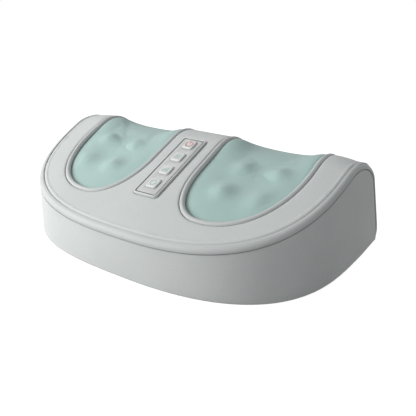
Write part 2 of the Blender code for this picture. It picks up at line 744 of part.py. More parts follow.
def make_casing(model, panel, finish):
    """Rigid shell under the covers, with long screw bosses under its roof."""
    bottom = BASE_TOP + SEAT_GAP
    item = extruded("casing", model.parts, profile_outline(CASING_OFFSET, bottom), -BODY_WIDTH,
                    BODY_WIDTH, turn=along_x())
    item.data.materials.append(finish)
    outer = extruded("casing_plan", model.parts, plan_outline(CASING_OFFSET, BODY_DEPTH),
                     BASE_HEIGHT, BASE_HEIGHT + BODY_DEPTH)
    hollow = extruded("casing_hollow", model.parts, profile_outline(CASING_INSIDE, -OVERRUN),
                      -BODY_WIDTH, BODY_WIDTH, turn=along_x())
    model.keep(hollow, extruded("hollow_plan", model.parts,
                                plan_outline(CASING_INSIDE, BODY_DEPTH, HIDDEN_STEP),
                                -BODY_DEPTH, BODY_DEPTH))
    model.keep(item, outer)
    model.cut(item, hollow)
    roof = extruded("casing_boss_roof", model.parts,
                    profile_outline(CASING_INSIDE - CASING_BOSS_BITE, bottom), -BODY_WIDTH,
                    BODY_WIDTH, turn=along_x())
    for name, x, y in screw_places():
        boss_bottom = BASE_HEIGHT + SCREW_BOSS_HEIGHT + SEAT_GAP
        boss = rod("casing_boss_" + name, model.parts, CASING_BOSS_RADIUS,
                   (x, y, boss_bottom), (x, y, RIDGE_HEIGHT), sides=SMALL_SIDES)
        model.keep(boss, roof)
        model.join(item, boss)
        model.cut(item, rod("casing_hole_" + name, model.parts, SCREW_SHANK_RADIUS + SEAT_GAP,
                            (x, y, bottom), (x, y, boss_bottom + SCREW_SHANK_LENGTH),
                            sides=SMALL_SIDES))
    tub = extruded("casing_window", model.parts,
                   rounded_rectangle(PANEL_WIDTH - 2 * PANEL_RIM + SEAT_GAP * 2,
                                     PANEL_LENGTH - 2 * PANEL_RIM + SEAT_GAP * 2, PANEL_CORNER),
                   -OVERRUN, OVERRUN, frame=panel)
    return model.cut(item, well_cutter(model, "left", "casing_left_well"),
                     well_cutter(model, "right", "casing_right_well"), tub,
                     jack_cutter(model, "casing_jack_hole"))


def screw_places():
    """Names and places of the four base screws."""
    return [("front_left", -FRONT_SCREW_X, FRONT_SCREW_Y), ("front_right", FRONT_SCREW_X, FRONT_SCREW_Y),
            ("back_left", -BACK_SCREW_X, BACK_SCREW_Y), ("back_right", BACK_SCREW_X, BACK_SCREW_Y)]


def foot_places():
    """Names and places of the four feet."""
    return [("front_left", -FRONT_FOOT_X, FRONT_FOOT_Y), ("front_right", FRONT_FOOT_X, FRONT_FOOT_Y),
            ("back_left", -BACK_FOOT_X, BACK_FOOT_Y), ("back_right", BACK_FOOT_X, BACK_FOOT_Y)]


def make_base_pan(model, heads, finish):
    """Floor plate with a locating lip, deck posts, screw bosses and board posts."""
    back = back_face_y(BASE_TOP, CASING_OFFSET)
    item = extruded("base_pan", model.parts, plan_outline(CASING_OFFSET, back), BASE_HEIGHT, BASE_TOP)
    item.data.materials.append(finish)
    lip_inset = CASING_INSIDE + SEAT_GAP
    lip_back = back_face_y(BASE_TOP + LIP_HEIGHT, lip_inset)
    lip = extruded("base_lip", model.parts, plan_outline(lip_inset, lip_back, HIDDEN_STEP),
                   BASE_HEIGHT + BASE_PLATE / 2, BASE_TOP + LIP_HEIGHT)
    model.cut(lip, extruded("base_lip_inside", model.parts,
                            plan_outline(lip_inset + LIP_THICKNESS, lip_back - LIP_THICKNESS, HIDDEN_STEP),
                            BASE_HEIGHT - OVERRUN, BASE_TOP + LIP_HEIGHT + OVERRUN))
    model.join(item, lip)
    for side, frame in heads.items():
        posts = []
        for sx in (-1, 1):
            for sy in (-1, 1):
                top = deck_point(side, sx * POST_X, sy * POST_Y)
                posts.append(rod("base_post", model.parts, POST_RADIUS,
                                 (top.x, top.y, BASE_HEIGHT + BASE_PLATE / 2),
                                 (top.x, top.y, top.z + OVERRUN), sides=SMALL_SIDES))
        top_cut = box("base_post_top", model.parts,
                      (-DECK_WIDTH, -DECK_LENGTH, -DECK_BOTTOM_DEPTH - SEAT_GAP),
                      (DECK_WIDTH, DECK_LENGTH, 0), frame=frame)
        model.guide(top_cut)
        for post in posts:
            model.cut(post, top_cut)
            model.join(item, post)
    for sx in (-1, 1):
        for sy in (-1, 1):
            x = sx * (DRIVER_WIDTH / 2 - DRIVER_POST_INSET)
            y = DRIVER_Y + sy * (DRIVER_LENGTH / 2 - DRIVER_POST_INSET)
            model.join(item, rod("base_board_post", model.parts, DRIVER_POST_RADIUS,
                                 (x, y, BASE_HEIGHT + BASE_PLATE / 2), (x, y, DRIVER_BOTTOM - SEAT_GAP),
                                 sides=SMALL_SIDES))
    for name, x, y in screw_places():
        model.join(item, rod("base_boss_" + name, model.parts, SCREW_BOSS_RADIUS,
                             (x, y, BASE_HEIGHT + BASE_PLATE / 2),
                             (x, y, BASE_HEIGHT + SCREW_BOSS_HEIGHT), sides=SMALL_SIDES))
        model.cut(item, rod("base_pocket_" + name, model.parts, SCREW_HEAD_RADIUS + SEAT_GAP,
                            (x, y, 0), (x, y, BASE_HEIGHT + SCREW_POCKET_DEPTH), sides=SMALL_SIDES),
                  rod("base_hole_" + name, model.parts, SCREW_SHANK_RADIUS + SEAT_GAP,
                      (x, y, 0), (x, y, BASE_HEIGHT + SCREW_BOSS_HEIGHT + OVERRUN), sides=SMALL_SIDES))
    for name, x, y in foot_places():
        model.cut(item, rod("base_foot_hole_" + name, model.parts, FOOT_PLUG_RADIUS + SEAT_GAP,
                            (x, y, -OVERRUN), (x, y, BASE_TOP + OVERRUN), sides=SMALL_SIDES))
    return item


def make_screws(model, finish):
    """Self-tapping screws from below into the casing's bosses."""
    top = BASE_HEIGHT + SCREW_POCKET_DEPTH - SEAT_GAP
    for name, x, y in screw_places():
        profile = [(0, SCREW_SHANK_LENGTH), (SCREW_SHANK_RADIUS, SCREW_SHANK_LENGTH - SCREW_SHANK_RADIUS),
                   (SCREW_SHANK_RADIUS, 0), (SCREW_HEAD_RADIUS, 0), (SCREW_HEAD_RADIUS, -SCREW_HEAD_HEIGHT),
                   (0, -SCREW_HEAD_HEIGHT)]
        item = turned("base_screw_" + name, model.parts, profile, sides=SMALL_SIDES)
        item.location = (x, y, top)
        item.data.materials.append(finish)


def make_feet(model, finish):
    """Push-in rubber feet."""
    for name, x, y in foot_places():
        disc_top = BASE_HEIGHT - SEAT_GAP
        plug_top = BASE_TOP + FOOT_PLUG_RISE
        profile = [(0, plug_top), (FOOT_PLUG_RADIUS, plug_top), (FOOT_PLUG_RADIUS, disc_top),
                   (FOOT_RADIUS, disc_top), (FOOT_RADIUS, 0), (0, 0)]
        item = turned("foot_" + name, model.parts, profile)
        item.location = (x, y, 0)
        item.data.materials.append(finish)


# Pieces of the wells
def make_piping(model, side, finish):
    """Piped roll that closes the edge of a well."""
    curve = bpy.data.curves.new("well_piping_" + side, "CURVE")
    curve.dimensions = "3D"
    curve.bevel_depth = PIPING_RADIUS
    curve.bevel_resolution = 2
    line = well_line(-PIPING_RADIUS)
    spline = curve.splines.new("POLY")
    spline.points.add(len(line) - 1)
    for point, place in zip(spline.points, line):
        point.co = (*well_point(side, place, PIPING_DEPTH), 1.0)
    spline.use_cyclic_u = True
    item = bpy.data.objects.new("well_piping_" + side, curve)
    curve.materials.append(finish)
    model.parts.objects.link(item)
    return item


def make_ring(model, side, finish):
    """Rigid ring under the casing's roof, with the ledge that carries the pad's edge."""
    ledge_top = PAD_RIM_DEPTH + PAD_THICKNESS + PAD_SEAT_GAP
    ledge_bottom = ledge_top + RING_LEDGE_THICKNESS
    section = [(0.0, CASING_INSIDE + SEAT_GAP), (RING_WALL, CASING_INSIDE + SEAT_GAP),
               (RING_WALL, ledge_bottom), (-RING_LEDGE_REACH, ledge_bottom),
               (-RING_LEDGE_REACH, ledge_top), (0.0, ledge_top)]
    lines = [well_line(grow) for grow, depth in section]
    rings = []
    for i in range(WELL_STATIONS):
        rings.append([well_point(side, line[i], depth)
                      for line, (grow, depth) in zip(lines, section)])
    item = loft("well_ring_" + side, model.parts, rings, closed=True)
    item.data.materials.append(finish)
    return item


def node_angles(side):
    """Angles of a head's kneading nodes, each with whether it is a tall one.

    Tall nodes rest at the inner front and the outer back of each well.
    """
    first_tall = 0 if side == "right" else 1
    return [(math.radians(45 + 90 * i), i % 2 == first_tall) for i in range(4)]


def bump_places():
    """Places (x, run) of the right well's bumps over its head's nodes, each with its height."""
    places = []
    for angle, tall in node_angles("right"):
        places.append((HEAD_X + NODE_ORBIT_RADIUS * math.cos(angle),
                       HEAD_RUN + NODE_ORBIT_RADIUS * math.sin(angle),
                       TALL_BUMP_HEIGHT if tall else SHORT_BUMP_HEIGHT))
    return places


def trough_depth(share):
    """Depth of a pad's upper face without its bumps, by the share of the way out to the rim."""
    return PAD_RIM_DEPTH + PAD_TROUGH * (1 - share ** 2)


def underside_depth(share):
    """Depth of a pad's underside: level over the ring's ledge, then hollow like the upper face."""
    inward_share = min(1.0, share / PAD_LEDGE_SHARE)
    return PAD_RIM_DEPTH + PAD_THICKNESS + PAD_TROUGH * (1 - inward_share ** 2)


def pad_depth(x, run, share):
    """Depth of a pad's upper face, with its bumps, which fade out at the rim."""
    rise = 0.0
    for bump_x, bump_run, height in bump_places():
        distance = ((x - bump_x) ** 2 + (run - bump_run) ** 2) / BUMP_SPREAD ** 2
        rise += height * math.exp(-distance / 2)
    return trough_depth(share) - rise * (1 - share ** 4)


def make_pad(model, side, finish):
    """Soft pad of a well: a hollow with four bumps, and a plain underside over the head."""
    item = well_solid("well_pad_" + side, model.parts, side, -PAD_SIDE_GAP, pad_depth,
                      lambda x, run, share: underside_depth(share), even_shares(PAD_RINGS),
                      (1, (1 + PAD_LEDGE_SHARE) / 2, PAD_LEDGE_SHARE, PAD_LEDGE_SHARE / 2))
    item.data.materials.append(finish)
    return smooth(item, 60)


# Pieces of the kneading heads
def deck_point(side, across, along):
    """World place on the underside of a deck."""
    frame = surface_point(SIDES[side] * HEAD_X, HEAD_RUN, DECK_BOTTOM_DEPTH)
    return frame + Vector((across, along * math.cos(FRONT_SLOPE), along * math.sin(FRONT_SLOPE)))


def make_deck(model, side, frame, finish):
    """Plate that carries the head's bush and hangs the gearbox."""
    item = extruded("deck_" + side, model.parts, rounded_rectangle(DECK_WIDTH, DECK_LENGTH, DECK_CORNER),
                    -DECK_BOTTOM_DEPTH, -DECK_TOP_DEPTH, frame=frame)
    item.data.materials.append(finish)
    return model.cut(item, rod("deck_hole_" + side, model.parts, BUSH_RADIUS + SEAT_GAP,
                               (0, 0, -DECK_BOTTOM_DEPTH - OVERRUN), (0, 0, 0), frame=frame))


def make_bush(model, side, frame, finish):
    """Flanged bush in the deck, round the head's shaft."""
    bore = SHAFT_RADIUS + SEAT_GAP
    flange_bottom = -DECK_TOP_DEPTH + SEAT_GAP
    flange_top = flange_bottom + BUSH_FLANGE_THICKNESS
    profile = [(bore, flange_top), (BUSH_FLANGE_RADIUS, flange_top), (BUSH_FLANGE_RADIUS, flange_bottom),
               (BUSH_RADIUS, flange_bottom), (BUSH_RADIUS, -DECK_BOTTOM_DEPTH),
               (bore, -DECK_BOTTOM_DEPTH)]
    item = turned("head_bush_" + side, model.parts, profile, frame=frame, hollow=True)
    item.data.materials.append(finish)
    return item


def make_rotor(model, side, frame, finish):
    """Four-lobed plate that carries the nodes round."""
    outline = []
    for i in range(ROUND_SIDES * 2):
        angle = math.pi * (i + 0.5) / ROUND_SIDES
        lobe_share = (0.5 - 0.5 * math.cos(4 * angle)) ** 1.5
        radius = ROTOR_WAIST_RADIUS + (ROTOR_LOBE_RADIUS - ROTOR_WAIST_RADIUS) * lobe_share
        outline.append((radius * math.cos(angle), radius * math.sin(angle)))
    item = extruded("rotor_" + side, model.parts, outline, -ROTOR_BOTTOM_DEPTH, -ROTOR_TOP_DEPTH,
                    frame=frame)
    item.data.materials.append(finish)
    hub_top = -ROTOR_TOP_DEPTH + ROTOR_HUB_HEIGHT
    model.join(item, rod("rotor_hub_" + side, model.parts, ROTOR_HUB_RADIUS,
                         (0, 0, -ROTOR_BOTTOM_DEPTH + ROTOR_THICKNESS / 2), (0, 0, hub_top), frame=frame))
    return model.cut(item, rod("rotor_bore_" + side, model.parts, SHAFT_RADIUS + SEAT_GAP,
                               (0, 0, -ROTOR_BOTTOM_DEPTH - OVERRUN), (0, 0, hub_top + OVERRUN),
                               frame=frame))


def make_nodes(model, side, frame, finish):
    """Domed kneading nodes: two tall and two short ones in turn."""
    for number, (angle, tall) in enumerate(node_angles(side), 1):
        height = TALL_NODE_HEIGHT if tall else SHORT_NODE_HEIGHT
        profile = []
        for step in range(5):
            rise = math.pi / 2 * (1 - step / 4)
            profile.append((NODE_RADIUS * math.cos(rise) if step else 0.0,
                            height - NODE_RADIUS + NODE_RADIUS * math.sin(rise)))
        profile += [(NODE_RADIUS, 0), (0, 0)]
        item = turned(f"node_{side}_{number}", model.parts, profile, frame=frame, sides=SMALL_SIDES)
        item.location = (NODE_ORBIT_RADIUS * math.cos(angle), NODE_ORBIT_RADIUS * math.sin(angle),
                         -ROTOR_TOP_DEPTH + SEAT_GAP)
        item.data.materials.append(finish)


def make_wheel(model, side, frame, finish):
    """Worm wheel and the shaft that turns the rotor, in one moulding."""
    outline = []
    for tooth in range(WHEEL_TEETH):
        middle = math.pi * (2 * tooth + 1) / WHEEL_TEETH - math.pi / 2
        for radius, width, sign in ((WHEEL_ROOT_RADIUS, WHEEL_ROOT_TOOTH, -1),
                                    (WHEEL_TIP_RADIUS, WHEEL_TIP_TOOTH, -1),
                                    (WHEEL_TIP_RADIUS, WHEEL_TIP_TOOTH, 1),
                                    (WHEEL_ROOT_RADIUS, WHEEL_ROOT_TOOTH, 1)):
            angle = middle + sign * width / radius / 2
            outline.append((radius * math.cos(angle), radius * math.sin(angle)))
    half = WHEEL_THICKNESS / 2
    item = extruded("worm_wheel_" + side, model.parts, outline, -GEAR_MIDDLE_DEPTH - half,
                    -GEAR_MIDDLE_DEPTH + half, frame=frame)
    item.data.materials.append(finish)
    shaft_bottom = -BOX_FLOOR_DEPTH - BEARING_POCKET + SEAT_GAP
    shaft_top = -ROTOR_TOP_DEPTH + ROTOR_HUB_HEIGHT - SEAT_GAP
    return model.join(item, rod("wheel_hub_" + side, model.parts, WHEEL_HUB_RADIUS,
                                (0, 0, -GEAR_MIDDLE_DEPTH), (0, 0, -GEAR_MIDDLE_DEPTH + WHEEL_HUB_HEIGHT),
                                frame=frame),
                      rod("wheel_shaft_" + side, model.parts, SHAFT_RADIUS, (0, 0, shaft_bottom),
                          (0, 0, shaft_top), frame=frame))


def worm_thread(side):
    """Rings of the worm's thread, about the worm's own axis along X."""
    sink = WORM_ROOT_RADIUS / 8
    section = [(-WORM_ROOT_THREAD / 2, WORM_ROOT_RADIUS - sink), (-WORM_TIP_THREAD / 2, WORM_TIP_RADIUS),
               (WORM_TIP_THREAD / 2, WORM_TIP_RADIUS), (WORM_ROOT_THREAD / 2, WORM_ROOT_RADIUS - sink)]
    steps = int(WORM_TURNS * SMALL_SIDES)
    rings = []
    for i in range(steps + 1):
        turns = WORM_TURNS * (i / steps - 0.5)
        angle = 2 * math.pi * turns
        shift = SIDES[side] * WORM_LEAD * turns
        rings.append([Vector((shift + along, radius * math.cos(angle), radius * math.sin(angle)))
                      for along, radius in section])
    return rings


def make_worm(model, side, frame, finish):
    """Worm on its shaft, from the box's far wall into the motor."""
    out = SIDES[side]
    far = -(BOX_HALF + BOX_WALL) + SEAT_GAP
    near = BOX_HALF + MOTOR_BORE_DEPTH - SEAT_GAP
    item = rod("worm_" + side, model.parts, WORM_SHAFT_RADIUS, (out * far, 0, 0), (out * near, 0, 0),
               frame=frame, sides=SMALL_SIDES)
    item.data.materials.append(finish)
    length = WORM_LEAD * (WORM_TURNS + 1) / 2
    core = rod("worm_core_" + side, model.parts, WORM_ROOT_RADIUS, (-length, 0, 0), (length, 0, 0),
               frame=frame, sides=SMALL_SIDES)
    thread = loft("worm_thread_" + side, model.parts, worm_thread(side))
    thread.parent = frame
    return model.join(item, core, thread)


def make_gearbox(model, side, frame, finish):
    """Box under the deck round the wheel and the worm, with the lower bearing in its floor."""
    out = SIDES[side]
    top = -DECK_BOTTOM_DEPTH - SEAT_GAP
    floor = -BOX_FLOOR_DEPTH
    outer = BOX_HALF + BOX_WALL
    item = box("gearbox_" + side, model.parts, (-outer, BOX_FRONT_Y - BOX_WALL, floor - BOX_FLOOR),
               (outer, outer, top), frame=frame)
    item.data.materials.append(finish)
    inside = box("gearbox_inside_" + side, model.parts, (-BOX_HALF, BOX_FRONT_Y, floor),
                 (BOX_HALF, BOX_HALF, top + OVERRUN), frame=frame)
    worm_z = -GEAR_MIDDLE_DEPTH
    return model.cut(
        item, inside,
        rod("gearbox_pocket_" + side, model.parts, SHAFT_RADIUS + SEAT_GAP,
            (0, 0, floor - BEARING_POCKET), (0, 0, floor + OVERRUN), frame=frame),
        rod("gearbox_far_hole_" + side, model.parts, WORM_SHAFT_RADIUS + SEAT_GAP,
            (0, WORM_Y, worm_z), (-out * (outer + OVERRUN), WORM_Y, worm_z), frame=frame,
            sides=SMALL_SIDES),
        rod("gearbox_near_hole_" + side, model.parts, MOTOR_BOSS_RADIUS + SEAT_GAP,
            (0, WORM_Y, worm_z), (out * (outer + OVERRUN), WORM_Y, worm_z), frame=frame))


def make_motor(model, side, frame, finish):
    """Can motor against the gearbox, with its boss in the box's wall."""
    out = SIDES[side]
    face = BOX_HALF + BOX_WALL + SEAT_GAP
    back = face + MOTOR_LENGTH
    worm_z = -GEAR_MIDDLE_DEPTH
    item = rod("motor_" + side, model.parts, MOTOR_RADIUS, (out * face, WORM_Y, worm_z),
               (out * back, WORM_Y, worm_z), frame=frame)
    item.data.materials.append(finish)
    overlap = MOTOR_CAP_LENGTH / 2
    model.join(item, rod("motor_boss_" + side, model.parts, MOTOR_BOSS_RADIUS,
                         (out * BOX_HALF, WORM_Y, worm_z), (out * (face + overlap), WORM_Y, worm_z),
                         frame=frame),
               rod("motor_cap_" + side, model.parts, MOTOR_CAP_RADIUS,
                   (out * (back - overlap), WORM_Y, worm_z),
                   (out * (back + MOTOR_CAP_LENGTH), WORM_Y, worm_z), frame=frame))
    return model.cut(item, rod("motor_bore_" + side, model.parts, WORM_SHAFT_RADIUS + SEAT_GAP,
                               (0, WORM_Y, worm_z),
                               (out * (BOX_HALF + MOTOR_BORE_DEPTH), WORM_Y, worm_z), frame=frame,
                               sides=SMALL_SIDES))


# Pieces of the control panel
def make_panel_frame(model, panel, finish):
    """Raised rim with the tub that holds the switches."""
    item = extruded("panel_frame", model.parts,
                    rounded_rectangle(PANEL_WIDTH, PANEL_LENGTH, PANEL_CORNER),
                    -PANEL_SINK, PANEL_RISE, frame=panel)
    item.data.materials.append(finish)
    bevel(item, PANEL_BEVEL)
    pocket_width = PANEL_WIDTH - 2 * PANEL_RIM
    pocket_length = PANEL_LENGTH - 2 * PANEL_RIM
    pocket_corner = PANEL_CORNER - PANEL_RIM
    tub = extruded("panel_tub", model.parts,
                   rounded_rectangle(pocket_width, pocket_length, PANEL_CORNER),
                   -TUB_DEPTH, -PANEL_SINK / 2, frame=panel)
    pocket = extruded("panel_pocket", model.parts,
                      rounded_rectangle(pocket_width, pocket_length, pocket_corner),
                      FACE_BOTTOM - SEAT_GAP, OVERRUN, frame=panel)
    inside = extruded("panel_inside", model.parts,
                      rounded_rectangle(pocket_width - 2 * TUB_WALL, pocket_length - 2 * TUB_WALL,
                                        pocket_corner), TUB_FLOOR_TOP, OVERRUN, frame=panel)
    model.join(item, tub)
    return model.cut(item, pocket, inside)


def button_places():
    """Names and places along the panel of its four buttons, power first."""
    names = ("power", "heat", "speed", "direction")
    first = PANEL_LENGTH / 2 - BUTTON_BACK_INSET
    last = BUTTON_FRONT_INSET - PANEL_LENGTH / 2
    pitch = (first - last) / (len(names) - 1)
    return [(name, first - pitch * number) for number, name in enumerate(names)]


def make_panel_face(model, panel, finish):
    """Face plate with a square hole for each button."""
    width = PANEL_WIDTH - 2 * (PANEL_RIM + PANEL_GROOVE)
    length = PANEL_LENGTH - 2 * (PANEL_RIM + PANEL_GROOVE)
    item = extruded("panel_face", model.parts,
                    rounded_rectangle(width, length, PANEL_CORNER - PANEL_RIM - PANEL_GROOVE),
                    FACE_BOTTOM, FACE_TOP, frame=panel)
    item.data.materials.append(finish)
    hole = BUTTON_SIZE + 2 * SEAT_GAP
    for name, along in button_places():
        outline = [(x, y + along) for x, y in rounded_rectangle(hole, hole, BUTTON_CORNER)]
        model.cut(item, extruded("face_hole_" + name, model.parts, outline, FACE_BOTTOM - OVERRUN,
                                 FACE_TOP + OVERRUN, frame=panel))
    return item


def make_buttons(model, panel, finishes):
    """Square push buttons, each with a flange under the face and a stem over its switch."""
    for name, along in button_places():
        frame = add_frame("button_axis_" + name, (0, along, 0))
        frame.parent = panel
        item = extruded("button_" + name, model.parts,
                        rounded_rectangle(BUTTON_SIZE, BUTTON_SIZE, BUTTON_CORNER),
                        FLANGE_BOTTOM, FACE_TOP + BUTTON_RISE, frame=frame)
        item.data.materials.append(finishes.get(name, finishes["other"]))
        bevel(item, BUTTON_BEVEL)
        flange_size = BUTTON_SIZE + 2 * BUTTON_FLANGE
        flange = extruded("flange_" + name, model.parts,
                          rounded_rectangle(flange_size, flange_size, BUTTON_CORNER, 1),
                          FLANGE_BOTTOM, FLANGE_TOP, frame=frame)
        stem = rod("stem_" + name, model.parts, BUTTON_STEM_RADIUS, (0, 0, STEM_BOTTOM),
                   (0, 0, FLANGE_TOP), frame=frame, sides=SMALL_SIDES)
        model.join(item, flange, stem)


def make_switches(model, panel, finish):
    """Push switches on the control board, one under each button."""
    for name, along in button_places():
        half = SWITCH_SIZE / 2
        low = BOARD_TOP + SEAT_GAP
        item = box("switch_" + name, model.parts, (-half, along - half, low),
                   (half, along + half, low + SWITCH_HEIGHT), frame=panel)
        item.data.materials.append(finish)
        model.join(item, rod("plunger_" + name, model.parts, PLUNGER_RADIUS,
                             (0, along, low + SWITCH_HEIGHT / 2), (0, along, PLUNGER_TOP), frame=panel,
                             sides=SMALL_SIDES))


def make_control_board(model, panel, finish):
    """Circuit board on the tub's floor."""
    width = PANEL_WIDTH - 2 * (PANEL_RIM + TUB_WALL + SEAT_GAP)
    length = PANEL_LENGTH - 2 * (PANEL_RIM + TUB_WALL + SEAT_GAP)
    item = extruded("control_board", model.parts,
                    rounded_rectangle(width, length, PANEL_CORNER - PANEL_RIM),
                    BOARD_TOP - BOARD_THICKNESS, BOARD_TOP, frame=panel)
    item.data.materials.append(finish)
    return item


# Power inlet
def make_driver_board(model, finish):
    """Driver board on the base pan's posts."""
    item = box("driver_board", model.parts,
               (-DRIVER_WIDTH / 2, DRIVER_Y - DRIVER_LENGTH / 2, DRIVER_BOTTOM),
               (DRIVER_WIDTH / 2, DRIVER_Y + DRIVER_LENGTH / 2, DRIVER_TOP))
    item.data.materials.append(finish)
    return item


def make_jack(model, finish):
    """Low-voltage inlet on the driver board, with its barrel through the back."""
    body_back = DRIVER_Y + DRIVER_LENGTH / 2
    low = DRIVER_TOP + SEAT_GAP
    item = box("dc_jack", model.parts,
               (-JACK_BODY_WIDTH / 2, body_back - JACK_BODY_LENGTH, low),
               (JACK_BODY_WIDTH / 2, body_back, low + JACK_BODY_HEIGHT))
    item.data.materials.append(finish)
    bore_end = JACK_END_Y - JACK_BORE_DEPTH
    model.join(item, rod("jack_barrel", model.parts, JACK_BARREL_RADIUS,
                         (0, body_back - JACK_BODY_LENGTH / 2, JACK_Z), (0, JACK_END_Y, JACK_Z)))
    model.cut(item, rod("jack_bore", model.parts, JACK_BORE_RADIUS, (0, bore_end, JACK_Z),
                        (0, JACK_END_Y + OVERRUN, JACK_Z)))
    return model.join(item, rod("jack_pin", model.parts, JACK_PIN_RADIUS,
                                (0, bore_end - JACK_PIN_RADIUS, JACK_Z),
                                (0, JACK_END_Y - JACK_PIN_RECESS, JACK_Z), sides=SMALL_SIDES))


def build():
    """Build the whole massager."""
    clear_scene()
    model = Model("foot_calf_massager")
    grey_cover = (0.58, 0.60, 0.59)
    panel = add_frame("panel_plane", surface_point(0, PANEL_RUN), FRONT_SLOPE)
    heads = {}
    for side, sign in SIDES.items():
        heads[side] = add_frame("head_axis_" + side, surface_point(sign * HEAD_X, HEAD_RUN), FRONT_SLOPE)
    make_side_wall(model, finish_of("side_cover_grey", grey_cover, 0.55))
    make_trim_band(model, finish_of("trim_grey", (0.52, 0.54, 0.53), 0.50))
    make_top_cover(model, panel, finish_of("top_cover_grey", (0.60, 0.62, 0.61), 0.55))
    make_casing(model, panel, finish_of("casing_plastic", (0.70, 0.71, 0.71), 0.45))
    make_base_pan(model, heads, finish_of("base_plastic", (0.25, 0.26, 0.27), 0.60))
    make_screws(model, finish_of("screw_steel", (0.55, 0.55, 0.56), 0.30, 1.0))
    make_feet(model, finish_of("foot_rubber", (0.03, 0.03, 0.03), 0.85))
    make_panel_frame(model, panel, finish_of("panel_rim_silver", (0.62, 0.62, 0.64), 0.35))
    make_panel_face(model, panel, finish_of("panel_face_silver", (0.55, 0.54, 0.57), 0.40))
    make_buttons(model, panel, {"power": finish_of("power_button_white", (0.72, 0.68, 0.69), 0.35),
                                "other": finish_of("button_grey", (0.64, 0.65, 0.66), 0.35)})
    make_switches(model, panel, finish_of("switch_black", (0.04, 0.04, 0.04), 0.50))
    make_control_board(model, panel, finish_of("control_board_green", (0.03, 0.18, 0.08), 0.50))
    make_driver_board(model, finish_of("driver_board_green", (0.03, 0.18, 0.08), 0.50))
    make_jack(model, finish_of("jack_black", (0.04, 0.04, 0.04), 0.45))
    shared = {
        "piping": finish_of("piping_grey", (0.66, 0.68, 0.67), 0.50),
        "pad": finish_of("pad_mint", (0.38, 0.58, 0.53), 0.75),
        "ring": finish_of("ring_plastic", (0.70, 0.71, 0.71), 0.50),
        "deck": finish_of("deck_plastic", (0.30, 0.31, 0.33), 0.55),
        "bush": finish_of("bush_bronze", (0.60, 0.42, 0.20), 0.35, 1.0),
        "rotor": finish_of("rotor_plastic", (0.78, 0.78, 0.76), 0.45),
        "node": finish_of("node_plastic", (0.80, 0.42, 0.25), 0.40),
        "wheel": finish_of("wheel_nylon", (0.82, 0.81, 0.76), 0.40),
        "worm": finish_of("worm_steel", (0.55, 0.55, 0.56), 0.30, 1.0),
        "gearbox": finish_of("gearbox_plastic", (0.16, 0.16, 0.17), 0.55),
        "motor": finish_of("motor_steel", (0.50, 0.50, 0.52), 0.35, 1.0),
    }
    for side, head in heads.items():
        worm_axis = add_frame("worm_axis_" + side, (0, WORM_Y, -GEAR_MIDDLE_DEPTH))
        worm_axis.parent = head
        make_piping(model, side, shared["piping"])
        make_ring(model, side, shared["ring"])
        make_pad(model, side, shared["pad"])
        make_deck(model, side, head, shared["deck"])
        make_bush(model, side, head, shared["bush"])
        make_rotor(model, side, head, shared["rotor"])
        make_nodes(model, side, head, shared["node"])
        make_wheel(model, side, head, shared["wheel"])
        make_worm(model, side, worm_axis, shared["worm"])
        make_gearbox(model, side, head, shared["gearbox"])
        make_motor(model, side, head, shared["motor"])


build()
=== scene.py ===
"""Looks of the foot and calf massager: covers, wells, panel, underside, light and camera.

Lengths are in metres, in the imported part's own frame: +Z is up, the feet come in from -Y, and the
origin lies on the floor under the middle of the body.
"""
import logging
import math
from contextlib import contextmanager
from dataclasses import dataclass, field
from enum import Enum
from typing import Callable, Iterator, Sequence

import bmesh
import bpy
from mathutils import Matrix, Vector


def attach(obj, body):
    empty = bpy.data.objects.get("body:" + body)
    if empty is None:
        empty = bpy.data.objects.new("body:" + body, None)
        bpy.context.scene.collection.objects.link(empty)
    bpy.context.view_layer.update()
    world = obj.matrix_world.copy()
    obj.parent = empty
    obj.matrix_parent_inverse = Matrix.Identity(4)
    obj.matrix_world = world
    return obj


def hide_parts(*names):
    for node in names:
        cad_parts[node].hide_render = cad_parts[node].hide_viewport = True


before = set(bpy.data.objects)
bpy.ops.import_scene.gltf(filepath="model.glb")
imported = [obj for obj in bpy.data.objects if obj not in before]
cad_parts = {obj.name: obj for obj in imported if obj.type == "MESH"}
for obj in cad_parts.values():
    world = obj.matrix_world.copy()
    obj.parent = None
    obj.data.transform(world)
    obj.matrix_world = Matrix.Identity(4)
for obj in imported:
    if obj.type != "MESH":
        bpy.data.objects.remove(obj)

LOG = logging.getLogger("massager")
GRID_WELD = 0.000004
Point = tuple[float, float]
Triple = tuple[float, float, float]
Row = tuple[str, float, float]
Item = bpy.types.Object
Tree = bpy.types.NodeTree
Socket = bpy.types.NodeSocket


class Side(Enum):
    """The two wells, by the sign of their X."""

    LEFT = -1
    RIGHT = 1

    @property
    def word(self) -> str:
        """The side's name inside node names."""
        return self.name.lower()


class Symbol(Enum):
    """What a push button does, in the order from the ridge to the front."""

    POWER = "power"
    HEAT = "heat"
    SPEED = "speed"
    DIRECTION = "direction"


# Outlines
def signed_power(value: float, power: float) -> float:
    """Power of a value that keeps its sign."""
    return math.copysign(abs(value) ** power, value)


def eased(share: float) -> float:
    """Share from 0 to 1 that leaves and arrives softly."""
    share = min(1.0, max(0.0, share))
    return share * share * (3 - 2 * share)


